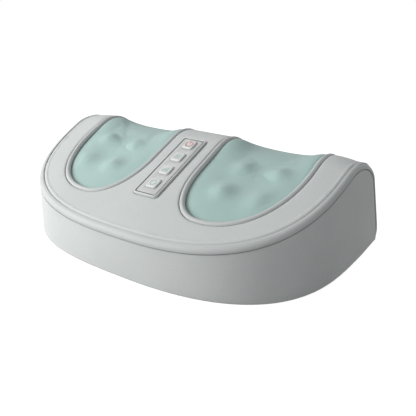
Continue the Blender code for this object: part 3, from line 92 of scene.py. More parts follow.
def resampled(points: Sequence[Vector], count: int, cyclic: bool = False) -> list[Vector]:
    """Points at equal steps along a polyline.

    Args:
        points: the polyline's points.
        count: how many points come back.
        cyclic: whether the last point joins the first one.

    Returns:
        The evenly spaced points.
    """
    line = [Vector(point) for point in points]
    if cyclic:
        line.append(line[0].copy())
    reach = [0.0]
    for one, two in zip(line, line[1:]):
        reach.append(reach[-1] + (two - one).length)
    steps = count if cyclic else count - 1
    result: list[Vector] = []
    at = 0
    for i in range(count):
        goal = reach[-1] * i / steps
        while at < len(line) - 2 and reach[at + 1] < goal:
            at += 1
        share = (goal - reach[at]) / (reach[at + 1] - reach[at])
        result.append(line[at].lerp(line[at + 1], share))
    return result


def normals_of(points: Sequence[Vector], cyclic: bool = False) -> list[Vector]:
    """Unit normals on the left of a polyline's direction."""
    normals = []
    count = len(points)
    for i in range(count):
        before = points[i - 1] if i or cyclic else points[0]
        after = points[(i + 1) % count] if i < count - 1 or cyclic else points[-1]
        along = (after - before).normalized()
        normals.append(Vector((-along.y, along.x)))
    return normals


def rounded_rectangle(width: float, length: float, radius: float, steps: int) -> list[Vector]:
    """Anticlockwise outline of a rectangle with round corners, about the origin."""
    points = []
    for quarter, (sx, sy) in enumerate(((1, 1), (-1, 1), (-1, -1), (1, -1))):
        for step in range(steps + 1):
            angle = math.pi / 2 * (quarter + step / steps)
            points.append(Vector((sx * (width / 2 - radius) + radius * math.cos(angle),
                                  sy * (length / 2 - radius) + radius * math.sin(angle))))
    return points


@dataclass(frozen=True)
class Body:
    """Side profile and plan of the body, with the wells drawn on its unrolled top."""

    width: float = 0.450
    depth: float = 0.2876
    ridge_height: float = 0.1342
    ridge_radius: float = 0.060
    base: float = 0.002
    front_slope: float = math.radians(23.1)
    back_slope: float = math.radians(66.25)
    widest_share: float = 0.7208
    across_power: float = 2.67
    along_power: float = 3.34
    well_inner: float = 0.0352
    well_margin: float = 0.0422
    well_front: float = 0.0469
    well_back_reach: float = 0.008
    tip_share: float = 0.3848
    centre_across_share: float = 0.506
    centre_along_share: float = 0.501
    inner_shoulder_share: float = 0.372
    outer_shoulder_share: float = 0.533
    back_shoulder_share: float = 0.855
    well_power: float = 2.2
    foot_corner_inset: float = 0.012
    foot_corner_run: float = 0.036
    fine_steps: int = 720

    @property
    def half(self) -> float:
        """Half of the width."""
        return self.width / 2

    @property
    def front_y(self) -> float:
        """Place of the front edge."""
        return -self.depth / 2

    @property
    def widest_y(self) -> float:
        """Place where the plan is widest."""
        return self.front_y + self.depth * self.widest_share

    @property
    def ridge_z(self) -> float:
        """Height of the middle of the ridge's round."""
        return self.ridge_height - self.ridge_radius

    @property
    def ridge_y(self) -> float:
        """Place of the middle of the ridge's round."""
        edge = self.ridge_z + self.ridge_radius * math.cos(self.back_slope)
        return (self.depth / 2 - (edge - self.base) / math.tan(self.back_slope)
                - self.ridge_radius * math.sin(self.back_slope))

    @property
    def arc_start(self) -> float:
        """Run from the front edge to where the ridge's round starts."""
        start_y = self.ridge_y - self.ridge_radius * math.sin(self.front_slope)
        return (start_y - self.front_y) / math.cos(self.front_slope)

    @property
    def arc_end(self) -> float:
        """Run to where the ridge's round ends."""
        return self.arc_start + self.ridge_radius * (self.front_slope + self.back_slope)

    @property
    def floor_run(self) -> float:
        """Run to the lower edge of the back."""
        edge = self.ridge_z + self.ridge_radius * math.cos(self.back_slope)
        return self.arc_end + (edge - self.base) / math.sin(self.back_slope)

    def place(self, run: float, depth: float = 0.0) -> Point:
        """Point (y, z) at a run from the front edge, sunk below the surface."""
        if run < self.arc_start:
            turn, past = -self.front_slope, run - self.arc_start
        elif run > self.arc_end:
            turn, past = self.back_slope, run - self.arc_end
        else:
            turn, past = (run - self.arc_start) / self.ridge_radius - self.front_slope, 0.0
        radius = self.ridge_radius - depth
        return (self.ridge_y + radius * math.sin(turn) + past * math.cos(turn),
                self.ridge_z + radius * math.cos(turn) - past * math.sin(turn))

    def run_of(self, y: float) -> float:
        """Run of the surface point at a place along Y."""
        reach = (y - self.ridge_y) / self.ridge_radius
        if reach < -math.sin(self.front_slope):
            return (y - self.front_y) / math.cos(self.front_slope)
        if reach > math.sin(self.back_slope):
            past = y - self.ridge_y - self.ridge_radius * math.sin(self.back_slope)
            return self.arc_end + past / math.cos(self.back_slope)
        return self.arc_start + self.ridge_radius * (self.front_slope + math.asin(reach))

    def height(self, y: float, depth: float = 0.0) -> float:
        """Height of the surface at a place along Y, sunk straight into the body."""
        radius = self.ridge_radius - depth
        front = self.ridge_y - radius * math.sin(self.front_slope)
        back = self.ridge_y + radius * math.sin(self.back_slope)
        if y < front:
            return (self.ridge_z + radius * math.cos(self.front_slope)
                    - (front - y) * math.tan(self.front_slope))
        if y > back:
            return (self.ridge_z + radius * math.cos(self.back_slope)
                    - (y - back) * math.tan(self.back_slope))
        return self.ridge_z + math.sqrt(radius ** 2 - (y - self.ridge_y) ** 2)

    def half_behind(self, run: float) -> float:
        """Half width behind the widest place, drawn in where the back nears the floor."""
        past = (run - self.floor_run + self.foot_corner_run) / self.foot_corner_run
        share = min(1.0, max(0.0, past))
        return self.half - self.foot_corner_inset * (1 - math.sqrt(1 - share ** 2))

    def plan(self, last_run: float, stations: int, side_steps: int) -> list[Vector]:
        """Plan line from the left side's back end, round the front, to the right side's.

        Args:
            last_run: run on the profile at which both sides end.
            stations: points round the front.
            side_steps: points along each side behind the widest place.

        Returns:
            The plan's points, in the XY plane.
        """
        fine = []
        for i in range(self.fine_steps + 1):
            angle = math.pi * i / self.fine_steps
            fine.append(Vector((
                -self.half * signed_power(math.cos(angle), 2 / self.across_power),
                self.widest_y - self.depth * self.widest_share
                * signed_power(math.sin(angle), 2 / self.along_power))))
        start = self.run_of(self.widest_y)
        runs = [start + (last_run - start) * (i + 1) / side_steps for i in range(side_steps)]
        right = [Vector((self.half_behind(run), self.place(run)[0])) for run in runs]
        left = [Vector((-point.x, point.y)) for point in reversed(right)]
        return left + resampled(fine, stations) + right

    def inward(self, line: Sequence[Vector]) -> list[Vector]:
        """Normals of a plan line into the body, square to its straight sides."""
        normals = normals_of(line)
        return [Vector((-math.copysign(1.0, point.x), 0.0)) if point.y > self.widest_y else normal
                for point, normal in zip(line, normals)]

    def well_spot(self, across: float, along: float) -> Point:
        """Place (x, run) at shares across and along the right well."""
        wide = self.half - self.well_margin - self.well_inner
        long = self.arc_end + self.well_back_reach - self.well_front
        return self.well_inner + wide * across, self.well_front + long * along

    def well_line(self, count: int, grow: float = 0.0) -> list[Vector]:
        """Closed outline of the right well as (x, run) points, grown outward."""
        inner, front = self.well_spot(0, 0)
        outer, back = self.well_spot(1, 1)
        tip, inner_run = self.well_spot(self.tip_share, self.inner_shoulder_share)
        middle, back_run = self.well_spot(0.5, self.back_shoulder_share)
        outer_run = self.well_spot(1, self.outer_shoulder_share)[1]
        arcs = ((tip, inner_run, tip - inner, inner_run - front, range(180, 271)),
                (tip, outer_run, outer - tip, outer_run - front, range(271, 361)),
                (middle, back_run, outer - middle, back - back_run, range(181)))
        bend = 2 / self.well_power
        fine = [Vector((x + wide * signed_power(math.cos(math.radians(turn)), bend),
                        run + long * signed_power(math.sin(math.radians(turn)), bend)))
                for x, run, wide, long, turns in arcs for turn in turns]
        line = resampled(fine, count, cyclic=True)
        return [point - normal * grow for point, normal in zip(line, normals_of(line, True))]

    @property
    def well_centre(self) -> Vector:
        """Middle of the right well as (x, run)."""
        return Vector(self.well_spot(self.centre_across_share, self.centre_along_share))

    def wrap(self, x: float, run: float, depth: float = 0.0) -> Vector:
        """Point on the body at a place across it and a run from its front edge."""
        return Vector((x, *self.place(run, depth)))


# Modelling helpers
def deselect() -> None:
    """Leave edit mode and clear the selection."""
    if bpy.context.mode != "OBJECT":
        bpy.ops.object.mode_set(mode="OBJECT")
    bpy.ops.object.select_all(action="DESELECT")


def take(item: Item, name: str) -> Item:
    """Name an object and its data alike."""
    item.name = name
    item.data.name = name
    return item


def pick(item: Item) -> Item:
    """Make an object the only selected and active one."""
    deselect()
    item.select_set(True)
    bpy.context.view_layer.objects.active = item
    return item


@contextmanager
def editing(item: Item, mode: str = "FACE") -> Iterator[None]:
    """Edit mode on one object, with all of its mesh selected at the start."""
    pick(item)
    bpy.ops.object.mode_set(mode="EDIT")
    bpy.ops.mesh.select_mode(type=mode)
    bpy.ops.mesh.select_all(action="SELECT")
    yield
    bpy.ops.object.mode_set(mode="OBJECT")


def choose(item: Item, kind: str, test: Callable[[object], bool]) -> None:
    """Select faces, edges or vertices in edit mode by a test on each.

    Args:
        item: the object being edited.
        kind: "FACE", "EDGE" or "VERT".
        test: called with each bmesh element; true selects it.
    """
    bpy.ops.mesh.select_mode(type=kind)
    bpy.ops.mesh.select_all(action="DESELECT")
    shape = bmesh.from_edit_mesh(item.data)
    shape.normal_update()
    for element in {"FACE": shape.faces, "EDGE": shape.edges, "VERT": shape.verts}[kind]:
        if test(element):
            element.select_set(True)
    shape.select_flush_mode()
    bmesh.update_edit_mesh(item.data)


def pushed(*move: float) -> None:
    """Extrude the selected faces by a distance along X, Y and Z, in edit mode."""
    bpy.ops.mesh.extrude_region_move(TRANSFORM_OT_translate={"value": move})


def scaled(factor: float) -> None:
    """Widen or narrow the selected part about the Z axis, in edit mode."""
    bpy.ops.transform.resize(value=(factor, factor, 1.0), center_override=(0, 0, 0))


def apply_modifier(item: Item, kind: str, **settings: object) -> Item:
    """Add a modifier with its settings and apply it."""
    pick(item)
    modifier = item.modifiers.new(kind.lower(), kind)
    for key, value in settings.items():
        setattr(modifier, key, value)
    bpy.ops.object.modifier_apply(modifier=modifier.name)
    return item


def bevelled(item: Item, width: float, segments: int, degrees: float) -> Item:
    """Round all edges sharper than an angle."""
    return apply_modifier(item, "BEVEL", width=width, segments=segments, limit_method="ANGLE",
                          angle_limit=math.radians(degrees))


def carved(item: Item, tool: Item, operation: str = "DIFFERENCE") -> Item:
    """Cut a tool out of a piece, or unite them, and remove the tool."""
    apply_modifier(item, "BOOLEAN", object=tool, operation=operation, solver="EXACT")
    bpy.data.objects.remove(tool)
    return item


def settle(item: Item, place: Matrix | None = None) -> Item:
    """Move a mesh into its place in the world and leave its object at the origin."""
    if place is not None:
        item.matrix_world = place @ item.matrix_world
    pick(item)
    bpy.ops.object.transform_apply(location=True, rotation=True, scale=True)
    return item


def box(name: str, size: Triple, middle: Triple, turn: float = 0.0) -> Item:
    """Box of a size about a point, turned about Z, with its object still in that place."""
    deselect()
    bpy.ops.mesh.primitive_cube_add(size=1.0, scale=size, location=middle, rotation=(0, 0, turn))
    return take(bpy.context.object, name)


def disc(name: str, radius: float, length: float, middle: Triple, sides: int,
         rotation: Triple = (0, 0, 0)) -> Item:
    """Cylinder of a radius and length about a point, upright unless turned, and settled."""
    deselect()
    bpy.ops.mesh.primitive_cylinder_add(vertices=sides, radius=radius, depth=length,
                                        location=middle, rotation=rotation)
    return settle(take(bpy.context.object, name))


def copied(item: Item, name: str, place: Matrix) -> Item:
    """Copy of a piece with its own mesh, settled at its place."""
    made = item.copy()
    made.data = item.data.copy()
    bpy.context.collection.objects.link(made)
    return settle(take(made, name), place)


def joined(parts: Sequence[Item], name: str) -> Item:
    """All parts as one piece."""
    pick(parts[0])
    for part in parts:
        part.select_set(True)
    bpy.ops.object.join()
    return take(bpy.context.object, name)


def laid_grid(name: str, columns: int, rows: int, place: Callable[[int, int], Vector],
              around: bool = False, across: bool = False,
              spot: Callable[[int, int], Point] | None = None) -> Item:
    """Grid primitive laid over a surface, column by column.

    Args:
        name: the object's name.
        columns: number of points along the surface.
        rows: number of points across it.
        place: gives the world point of a column and a row.
        around: whether the columns close into a ring.
        across: whether the rows close into a tube.
        spot: gives the UV place of a column and a row, if the piece needs one.

    Returns:
        The finished open or closed surface.
    """
    deselect()
    wide = columns + 1 if around else columns
    tall = rows + 1 if across else rows
    bpy.ops.mesh.primitive_grid_add(x_subdivisions=wide - 1, y_subdivisions=tall - 1, size=1.0)
    item = take(bpy.context.object, name)
    mesh = item.data
    numbers = [(round((vertex.co.x + 0.5) * (wide - 1)), round((vertex.co.y + 0.5) * (tall - 1)))
               for vertex in mesh.vertices]
    if spot is not None:
        layer = mesh.uv_layers.active
        layer.name = "surface"
        for loop in mesh.loops:
            layer.data[loop.index].uv = spot(*numbers[loop.vertex_index])
    for vertex, (column, row) in zip(mesh.vertices, numbers):
        vertex.co = place(column % columns if around else column, row % rows if across else row)
    with editing(item, "VERT"):
        bpy.ops.mesh.remove_doubles(threshold=GRID_WELD)
    return item


def outward(item: Item) -> Item:
    """Recalculate a closed skin's normals to the outside."""
    with editing(item):
        bpy.ops.mesh.normals_make_consistent(inside=False)
    return item


def walled(item: Item, thickness: float) -> Item:
    """Turn an open skin to look up or out, and give it a wall on its inner side."""
    total = sum((face.normal.z + face.normal.dot(face.center.normalized())) * face.area
                for face in item.data.polygons)
    if total < 0:
        with editing(item):
            bpy.ops.mesh.flip_normals()
    return apply_modifier(item, "SOLIDIFY", thickness=thickness, offset=-1.0)


# Finishes
def wire(tree: Tree, made: bpy.types.Node, sockets: dict[str | int, object]) -> None:
    """Set a node's inputs, by name or number: a socket is linked, anything else is a value."""
    for key, value in sockets.items():
        if isinstance(value, bpy.types.NodeSocket):
            tree.links.new(value, made.inputs[key])
        else:
            made.inputs[key].default_value = value


def node(tree: Tree, kind: str, sockets: dict[str | int, object],
         **settings: object) -> bpy.types.Node:
    """Add a shader node.

    Args:
        tree: the tree that it goes into.
        kind: the node's type, without its "ShaderNode".
        sockets: its inputs, as wire takes them.
        settings: its own properties.

    Returns:
        The node.
    """
    made = tree.nodes.new("ShaderNode" + kind)
    for key, value in settings.items():
        setattr(made, key, value)
    wire(tree, made, sockets)
    return made


def noise(tree: Tree, place: Socket, scale: float, detail: float) -> bpy.types.Node:
    """Soft noise over a surface."""
    return node(tree, "TexNoise", {"Vector": place, "Scale": scale, "Detail": detail})


def maths(tree: Tree, operation: str, *values: object) -> Socket:
    """Result of one operation on numbers or sockets."""
    return node(tree, "Math", dict(enumerate(values)), operation=operation).outputs[0]


@dataclass(frozen=True)
class Finish:
    """Moulded or sprayed surface: two close colours in soft clouds, and a fine grain."""

    name: str
    colour: Triple
    cloud_colour: Triple
    roughness: float = 0.5
    rough_swing: float = 0.06
    cloud_scale: float = 14.0
    grain_scale: float = 1500.0
    grain_depth: float = 0.00003
    metallic: float = 0.0
    specular: float = 0.5
    coat: float = 0.0
    sheen: float = 0.0

    def make(self) -> bpy.types.Material:
        """Build the node material.

        Returns:
            The material, ready to be assigned.
        """
        material = bpy.data.materials.new(self.name)
        material.use_nodes = True
        tree = material.node_tree
        shader = next(made for made in tree.nodes if made.type == "BSDF_PRINCIPLED")
        place = self.place(tree)
        clouds = noise(tree, place, self.cloud_scale, 4.0).outputs["Fac"]
        rough = node(tree, "MapRange", {
            "Value": clouds, "To Min": max(0.0, self.roughness - self.rough_swing),
            "To Max": min(1.0, self.roughness + self.rough_swing)})
        bump = node(tree, "Bump", {"Strength": 1.0, "Distance": self.grain_depth,
                                   "Height": self.relief(tree, place)})
        wire(tree, shader, {
            "Metallic": self.metallic, "Specular IOR Level": self.specular,
            "Coat Weight": self.coat, "Sheen Weight": self.sheen,
            "Base Color": self.tint(tree, place, clouds),
            "Roughness": rough.outputs["Result"], "Normal": bump.outputs["Normal"]})
        return material

    def place(self, tree: Tree) -> Socket:
        """Coordinates that the pattern follows."""
        return node(tree, "TexCoord", {}).outputs["Object"]

    def ramp(self, tree: Tree, share: Socket, low: Triple, high: Triple) -> Socket:
        """Colour between two others, by a share."""
        made = node(tree, "ValToRGB", {"Fac": share})
        for element, position, colour in zip(made.color_ramp.elements, (0.3, 0.7), (low, high)):
            element.position = position
            element.color = (*colour, 1.0)
        return made.outputs["Color"]

    def shaded(self, tree: Tree, clouds: Socket, share: Socket, low: float) -> Socket:
        """Base colour with painted shade: darker by a factor where a share is low."""
        factor = self.ramp(tree, share, (low, low, low), (1.0, 1.0, 1.0))
        colour = self.ramp(tree, clouds, self.colour, self.cloud_colour)
        return node(tree, "Mix", {"Factor": 1.0, 6: colour, 7: factor}, data_type="RGBA",
                    blend_type="MULTIPLY").outputs[2]

    def tint(self, tree: Tree, place: Socket, clouds: Socket) -> Socket:
        """Base colour of the surface."""
        return self.ramp(tree, clouds, self.colour, self.cloud_colour)

    def relief(self, tree: Tree, place: Socket) -> Socket:
        """Height of the fine grain, from 0 to 1."""
        return noise(tree, place, self.grain_scale, 3.0).outputs["Fac"]


@dataclass(frozen=True)
class LeatherFinish(Finish):
    """Soft imitation leather: pebbles parted by fine creases, with painted shade darkening the
    creases.
    """

    # Painted shade: how much darker the creases are than the pebbles.
    crease: float = 0.10
    stir: float = 0.0012
    crease_width: float = 0.28
    fine_share: float = 0.35

    def pebbles(self, tree: Tree, place: Socket) -> Socket:
        """Distance from each pebble's edge, from 0 in a crease to 1 on a pebble."""
        stirred = noise(tree, place, self.grain_scale / 3, 2.0).outputs["Color"]
        shift = node(tree, "VectorMath", {0: stirred, 1: (self.stir,) * 3, 2: place},
                     operation="MULTIPLY_ADD")
        cells = node(tree, "TexVoronoi", {"Vector": shift.outputs["Vector"],
                                          "Scale": self.grain_scale},
                     feature="DISTANCE_TO_EDGE")
        return node(tree, "MapRange", {"From Max": self.crease_width,
                                       "Value": cells.outputs["Distance"]},
                    interpolation_type="SMOOTHSTEP").outputs["Result"]

    def tint(self, tree: Tree, place: Socket, clouds: Socket) -> Socket:
        """Base colour, with painted shade making it a little darker in the creases."""
        return self.shaded(tree, clouds, self.pebbles(tree, place), 1.0 - self.crease)

    def relief(self, tree: Tree, place: Socket) -> Socket:
        """Pebbles with a finer grain over them."""
        fine = noise(tree, place, self.grain_scale * 3, 2.0).outputs["Fac"]
        return maths(tree, "MULTIPLY_ADD", fine, self.fine_share, self.pebbles(tree, place))


@dataclass(frozen=True)
class KnitFinish(Finish):
    """Close stretch knit that follows the pad's own surface map, in metres."""

    wale: float = 0.0009
    waves_to_scale: float = 3.18
    waver: float = 0.6
    waver_scale: float = 1.5
    # Painted shade: the colour factor in the valleys between the stitches.
    valley: float = 0.94

    def place(self, tree: Tree) -> Socket:
        """Map of the cloth, so that the knit lies along it."""
        cloth = node(tree, "UVMap", {}, uv_map="surface").outputs["UV"]
        return node(tree, "Mapping", {"Vector": cloth}).outputs["Vector"]

    def ribs(self, tree: Tree, place: Socket, direction: str) -> Socket:
        """One set of parallel ribs, a wale apart and slightly wavering."""
        return node(tree, "TexWave", {
            "Vector": place, "Scale": 1 / self.wale / self.waves_to_scale,
            "Distortion": self.waver, "Detail": 1.0, "Detail Scale": self.waver_scale},
            bands_direction=direction).outputs["Fac"]

    def relief(self, tree: Tree, place: Socket) -> Socket:
        """Stitches where the wales cross the courses, with a fuzz over them."""
        both = maths(tree, "MULTIPLY", *[self.ribs(tree, place, axis) for axis in "XY"])
        return maths(tree, "ADD", both, noise(tree, place, 1 / self.wale, 3.0).outputs["Fac"])

    def tint(self, tree: Tree, place: Socket, clouds: Socket) -> Socket:
        """Base colour, with painted shade making the ribs faintly darker between the stitches."""
        return self.shaded(tree, clouds, self.relief(tree, place), self.valley)


@dataclass(frozen=True)
class TurnedFinish(Finish):
    """Turned or drawn metal with fine rings round the Z axis."""

    squeeze: Triple = (0.15, 0.15, 2.0)

    def relief(self, tree: Tree, place: Socket) -> Socket:
        """Tool marks, much finer along Z than across."""
        marks = node(tree, "Mapping", {"Vector": place, "Scale": self.squeeze})
        return noise(tree, marks.outputs["Vector"], self.grain_scale, 2.0).outputs["Fac"]


@dataclass(frozen=True)
class BoardFinish(Finish):
    """Circuit board: green lacquer, lighter along a close net of tracks."""

    track_scale: float = 220.0
    track_glow: float = 1.8

    def tint(self, tree: Tree, place: Socket, clouds: Socket) -> Socket:
        """Lacquer colour, lighter over the tracks."""
        track = [value * self.track_glow for value in self.colour]
        return node(tree, "TexBrick", {
            "Vector": place, "Scale": self.track_scale, "Color1": (*self.colour, 1.0),
            "Color2": (*self.cloud_colour, 1.0), "Mortar": (*track, 1.0)}).outputs["Color"]


class Palette:
    """The finishes of all pieces, each made once."""

    def __init__(self) -> None:
        """Make the materials."""
        grey, cloud = (0.60, 0.622, 0.612), (0.57, 0.592, 0.582)
        rows = (
            LeatherFinish("cover_leather", grey, cloud, 0.56, 0.05, grain_scale=780.0,
                          grain_depth=0.00006, specular=0.35, sheen=0.06, crease=0.06),
            # Painted shade: the trim leather is the cover leather darkened by about 8 per cent,
            # worn by the band and the piping.
            LeatherFinish("trim_leather", (0.55, 0.57, 0.562), (0.52, 0.54, 0.532), 0.55, 0.05,
                          grain_scale=950.0, grain_depth=0.00004, specular=0.38, crease=0.05),
            KnitFinish("pad_knit", (0.42, 0.575, 0.54), (0.395, 0.545, 0.515), 0.88, 0.05,
                       cloud_scale=30.0, grain_depth=0.00014, specular=0.2, sheen=0.25),
            Finish("panel_rim_satin", grey, cloud, 0.35, 0.05, grain_scale=2200.0,
                   grain_depth=0.000008, coat=0.2),
            Finish("panel_silver", (0.50, 0.505, 0.505), (0.47, 0.475, 0.475), 0.42, 0.06,
                   grain_scale=2600.0, grain_depth=0.00001, metallic=0.35),
            Finish("button_pale", (0.63, 0.65, 0.64), (0.60, 0.62, 0.61), 0.36, 0.05,
                   grain_scale=2400.0, grain_depth=0.000008),
            Finish("icon_green", (0.30, 0.47, 0.38), (0.28, 0.44, 0.36), 0.5, 0.05,
                   grain_scale=3000.0, grain_depth=0.00001),
            Finish("icon_red", (0.52, 0.035, 0.045), (0.47, 0.03, 0.04), 0.45, 0.05,
                   grain_scale=3000.0, grain_depth=0.00001),
            Finish("shell_plastic", (0.42, 0.43, 0.43), (0.39, 0.40, 0.40), 0.55),
            Finish("base_plastic", (0.20, 0.205, 0.21), (0.18, 0.185, 0.19), 0.6,
                   grain_depth=0.00006, grain_scale=1100.0),
            Finish("foot_rubber", (0.035, 0.036, 0.038), (0.028, 0.029, 0.03), 0.82,
                   grain_depth=0.00005),
            Finish("black_plastic", (0.022, 0.022, 0.024), (0.03, 0.03, 0.032), 0.45),
            Finish("inner_white", (0.60, 0.60, 0.57), (0.56, 0.56, 0.53), 0.5),
            Finish("node_acetal", (0.52, 0.55, 0.58), (0.49, 0.52, 0.55), 0.35),
            Finish("deck_plastic", (0.10, 0.11, 0.12), (0.09, 0.10, 0.11), 0.5),
            TurnedFinish("bright_steel", (0.56, 0.56, 0.57), (0.50, 0.50, 0.51), 0.3, 0.08,
                         grain_depth=0.00002, metallic=1.0),
            TurnedFinish("bush_bronze", (0.50, 0.34, 0.17), (0.44, 0.30, 0.15), 0.35, 0.08,
                         grain_depth=0.00002, metallic=1.0),
            BoardFinish("board_green", (0.02, 0.12, 0.05), (0.018, 0.11, 0.045), 0.35),
        )
        self.made = {finish.name: finish.make() for finish in rows}

    def finished(self, item: Item, finish: str, slot: str, nodes: Sequence[str] = (),
                 degrees: float = 40.0, body: str = "chassis") -> Item:
        """Give a piece its finish, shade it, and tie it to its body and CAD nodes.

        Args:
            item: the piece.
            finish: the name of its finish, for every slot it has.
            slot: the record's material slot; not used.
            nodes: the CAD nodes that it stands for.
            degrees: angle above which an edge stays sharp.
            body: the CAD body it moves with.

        Returns:
            The same piece.
        """
        slots = item.data.materials
        if len(slots) == 0:
            slots.append(self.made[finish])
        for i in range(len(slots)):
            slots[i] = self.made[finish]
        pick(item)
        bpy.ops.object.shade_smooth_by_angle(angle=math.radians(degrees))
        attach(item, body)
        if nodes:
            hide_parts(*nodes)
        LOG.info("%s: %d faces", item.name, len(item.data.polygons))
        return item

    def carry(self, finish: str, *names: str) -> None:
        """Give CAD nodes that stay in sight a finish."""
        for name in names:
            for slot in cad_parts[name].material_slots:
                slot.material = self.made[finish]


# Covers
@dataclass
class Covers:
    """Imitation-leather covers: top, side wall and the trim band between them."""

    body: Body
    palette: Palette
    panel: "Panel"
    seam: float = 0.0002
    band_reach: float = 0.0066
    band_rise: float = 0.0003
    band_tuck: float = 0.0003
    band_hair: float = 0.0001
    band_rows: int = 10
    skin: float = 0.0006
    well_gap: float = 0.0006
    crown: float = 0.034
    panel_run: float = 0.123974
    jack_height: float = 0.0199
    jack_radius: float = 0.0058
    edge_steps: tuple[Point, ...] = ((0.0, 0.0021), (0.0003, 0.0013), (0.0009, 0.0007),
                                     (0.0018, 0.00028), (0.0032, 0.00006), (0.0055, 0.0))
    well_roll_share: float = 0.5
    outline_points: int = 560
    well_points: int = 232
    window_points: int = 140
    inlet_points: int = 40
    back_points: int = 90
    past_floor: float = 0.004
    floor_gap: float = 0.0015
    cut_along: float = 0.0045
    first_cut: float = 0.004
    last_gap: float = 0.002
    cut_across: float = 0.0051
    cut_shift: float = 0.0003
    cuts_across: int = 42
    weld: float = 0.00004
    level: float = 0.00001
    foot_roll: tuple[Point, ...] = ((0.0020, 0.0), (0.0012, 0.0002), (0.0006, 0.0007),
                                    (0.0002, 0.0015), (0.0, 0.0026))
    wall_rows: int = 9
    top_roll: tuple[Point, ...] = ((0.0, 0.0), (0.0001, 0.0001), (0.0002, 0.0002),
                                   (0.0005, 0.0004))
    top_room: float = 0.0035
    full_height: float = 0.016
    least_height: float = 0.003
    short_of_floor: float = 0.0004
    hem: float = 0.0004
    flare: float = 0.0022
    flare_fade: float = 0.080
    edge_blend: float = 0.0012
    edge: Body = field(default_factory=lambda: Body(
        ridge_height=0.1303, ridge_radius=0.0766, back_slope=math.radians(68.2)))

    def edge_height(self, y: float, depth: float = 0.0) -> float:
        """Height that the outer edge follows, a little lower than the ridge between."""
        height = self.body.height(y, depth)
        above = height - self.edge.height(y, depth)
        blend = math.sqrt(above ** 2 + self.edge_blend ** 2) - self.edge_blend
        return height - max(0.0, (above + blend) / 2)

    def edge_drop(self, x: float, y: float) -> float:
        """How far the top cover rolls down below the body's profile beside its outer seam."""
        half = self.body.half
        if y < self.body.widest_y:
            share = (self.body.widest_y - y) / (self.body.depth * self.body.widest_share)
            half *= max(0.0, 1 - share ** self.body.along_power) ** (1 / self.body.across_power)
        reach = half - self.band_reach - self.seam - abs(x)
        return (self.body.height(y) - self.edge_height(y)) * max(0.0, 1 - reach / self.crown) ** 2

    def edge_strip(self, line: Sequence[Vector], side: int, deep: float = 1.0) -> Item:
        """Flat strip beside an edge line, rolled down towards the line.

        Args:
            line: closed, anticlockwise (x, run) points of the edge.
            side: 1 if the cover lies inside the line, -1 if it lies outside.
            deep: factor on the roll's depth.

        Returns:
            The strip, with its depth below the surface as -Z.
        """
        normals = normals_of(line, True)

        def at(column: int, row: int) -> Vector:
            step, drop = self.edge_steps[row]
            point = line[column] + normals[column] * (side * step)
            return Vector((point.x, point.y, -drop * deep))
        return laid_grid("strip", len(line), len(self.edge_steps), at, around=True)

    def top_outline(self) -> list[Vector]:
        """Closed outline of the flattened top cover."""
        floor = self.body.floor_run
        line = self.body.plan(floor + self.past_floor, stations=420, side_steps=40)
        inset = self.band_reach + self.seam
        spots = [point + normal * inset for point, normal in zip(line, self.body.inward(line))]
        points = [Vector((spot.x, self.body.run_of(spot.y))) for spot in spots]
        points = [point for point in points if point.y < floor - self.floor_gap]
        left, right = points[0].x, points[-1].x
        back = [Vector((right + (left - right) * i / self.back_points, floor))
                for i in range(self.back_points + 1)]
        return resampled(points + back, self.outline_points, cyclic=True)

    def build_top(self) -> Item:
        """One sheet over the slope, the ridge and the back, open at the wells, panel and inlet."""
        right = self.body.well_line(self.well_points, self.well_gap)
        left = [Vector((-point.x, point.y)) for point in reversed(right)]
        window = rounded_rectangle(self.panel.width + 2 * self.seam,
                                   self.panel.length + 2 * self.seam, self.panel.corner,
                                   steps=5)
        window = [point + Vector((0, self.panel_run)) for point in window]
        slope = math.sin(self.body.back_slope)
        above = self.body.place(self.body.arc_end)[1] - self.jack_height
        run = self.body.arc_end + above / slope
        turns = [math.tau * i / self.inlet_points for i in range(self.inlet_points)]
        inlet = [Vector((self.jack_radius * math.cos(turn),
                         run + self.jack_radius / slope * math.sin(turn))) for turn in turns]
        strips = [self.edge_strip(self.top_outline(), 1),
                  self.edge_strip(right, -1, self.well_roll_share),
                  self.edge_strip(left, -1, self.well_roll_share),
                  self.edge_strip(resampled(window, self.window_points, cyclic=True), -1),
                  self.edge_strip(inlet, -1)]
        sheet = self.filled(joined(strips, "top_skin"))
        for vertex in sheet.data.vertices:
            spot = self.body.wrap(vertex.co.x, vertex.co.y, -vertex.co.z)
            spot.z -= self.edge_drop(spot.x, spot.y)
            vertex.co = spot
        sheet.data.update()
        walled(sheet, self.skin)
        return self.palette.finished(sheet, "cover_leather", "top_cover", ["top_cover"], 60)

    def filled(self, sheet: Item) -> Item:
        """Fill the field between edge strips, cut fine enough to be wrapped over the body."""
        rows = int((self.body.floor_run - self.last_gap) / self.cut_along)
        cuts = [((0, self.first_cut + i * self.cut_along, 0), (0, 1, 0)) for i in range(rows)]
        cuts += [((i * self.cut_across + self.cut_shift, 0, 0), (1, 0, 0))
                 for i in range(-self.cuts_across, self.cuts_across + 1)]
        with editing(sheet, "EDGE"):
            choose(sheet, "EDGE", lambda edge: edge.is_boundary
                   and all(vertex.co.z > -self.level for vertex in edge.verts))
            bpy.ops.mesh.fill(use_beauty=True)
            for place, normal in cuts:
                bpy.ops.mesh.select_all(action="SELECT")
                bpy.ops.mesh.bisect(plane_co=place, plane_no=normal)
            bpy.ops.mesh.select_all(action="SELECT")
            bpy.ops.mesh.remove_doubles(threshold=self.weld)
        return sheet

    def stations(self) -> tuple[list[Vector], list[Vector]]:
        """Plan points round the front and both sides, with their inward normals."""
        line = self.body.plan(self.body.floor_run - self.short_of_floor, stations=380,
                              side_steps=44)
        return line, self.body.inward(line)

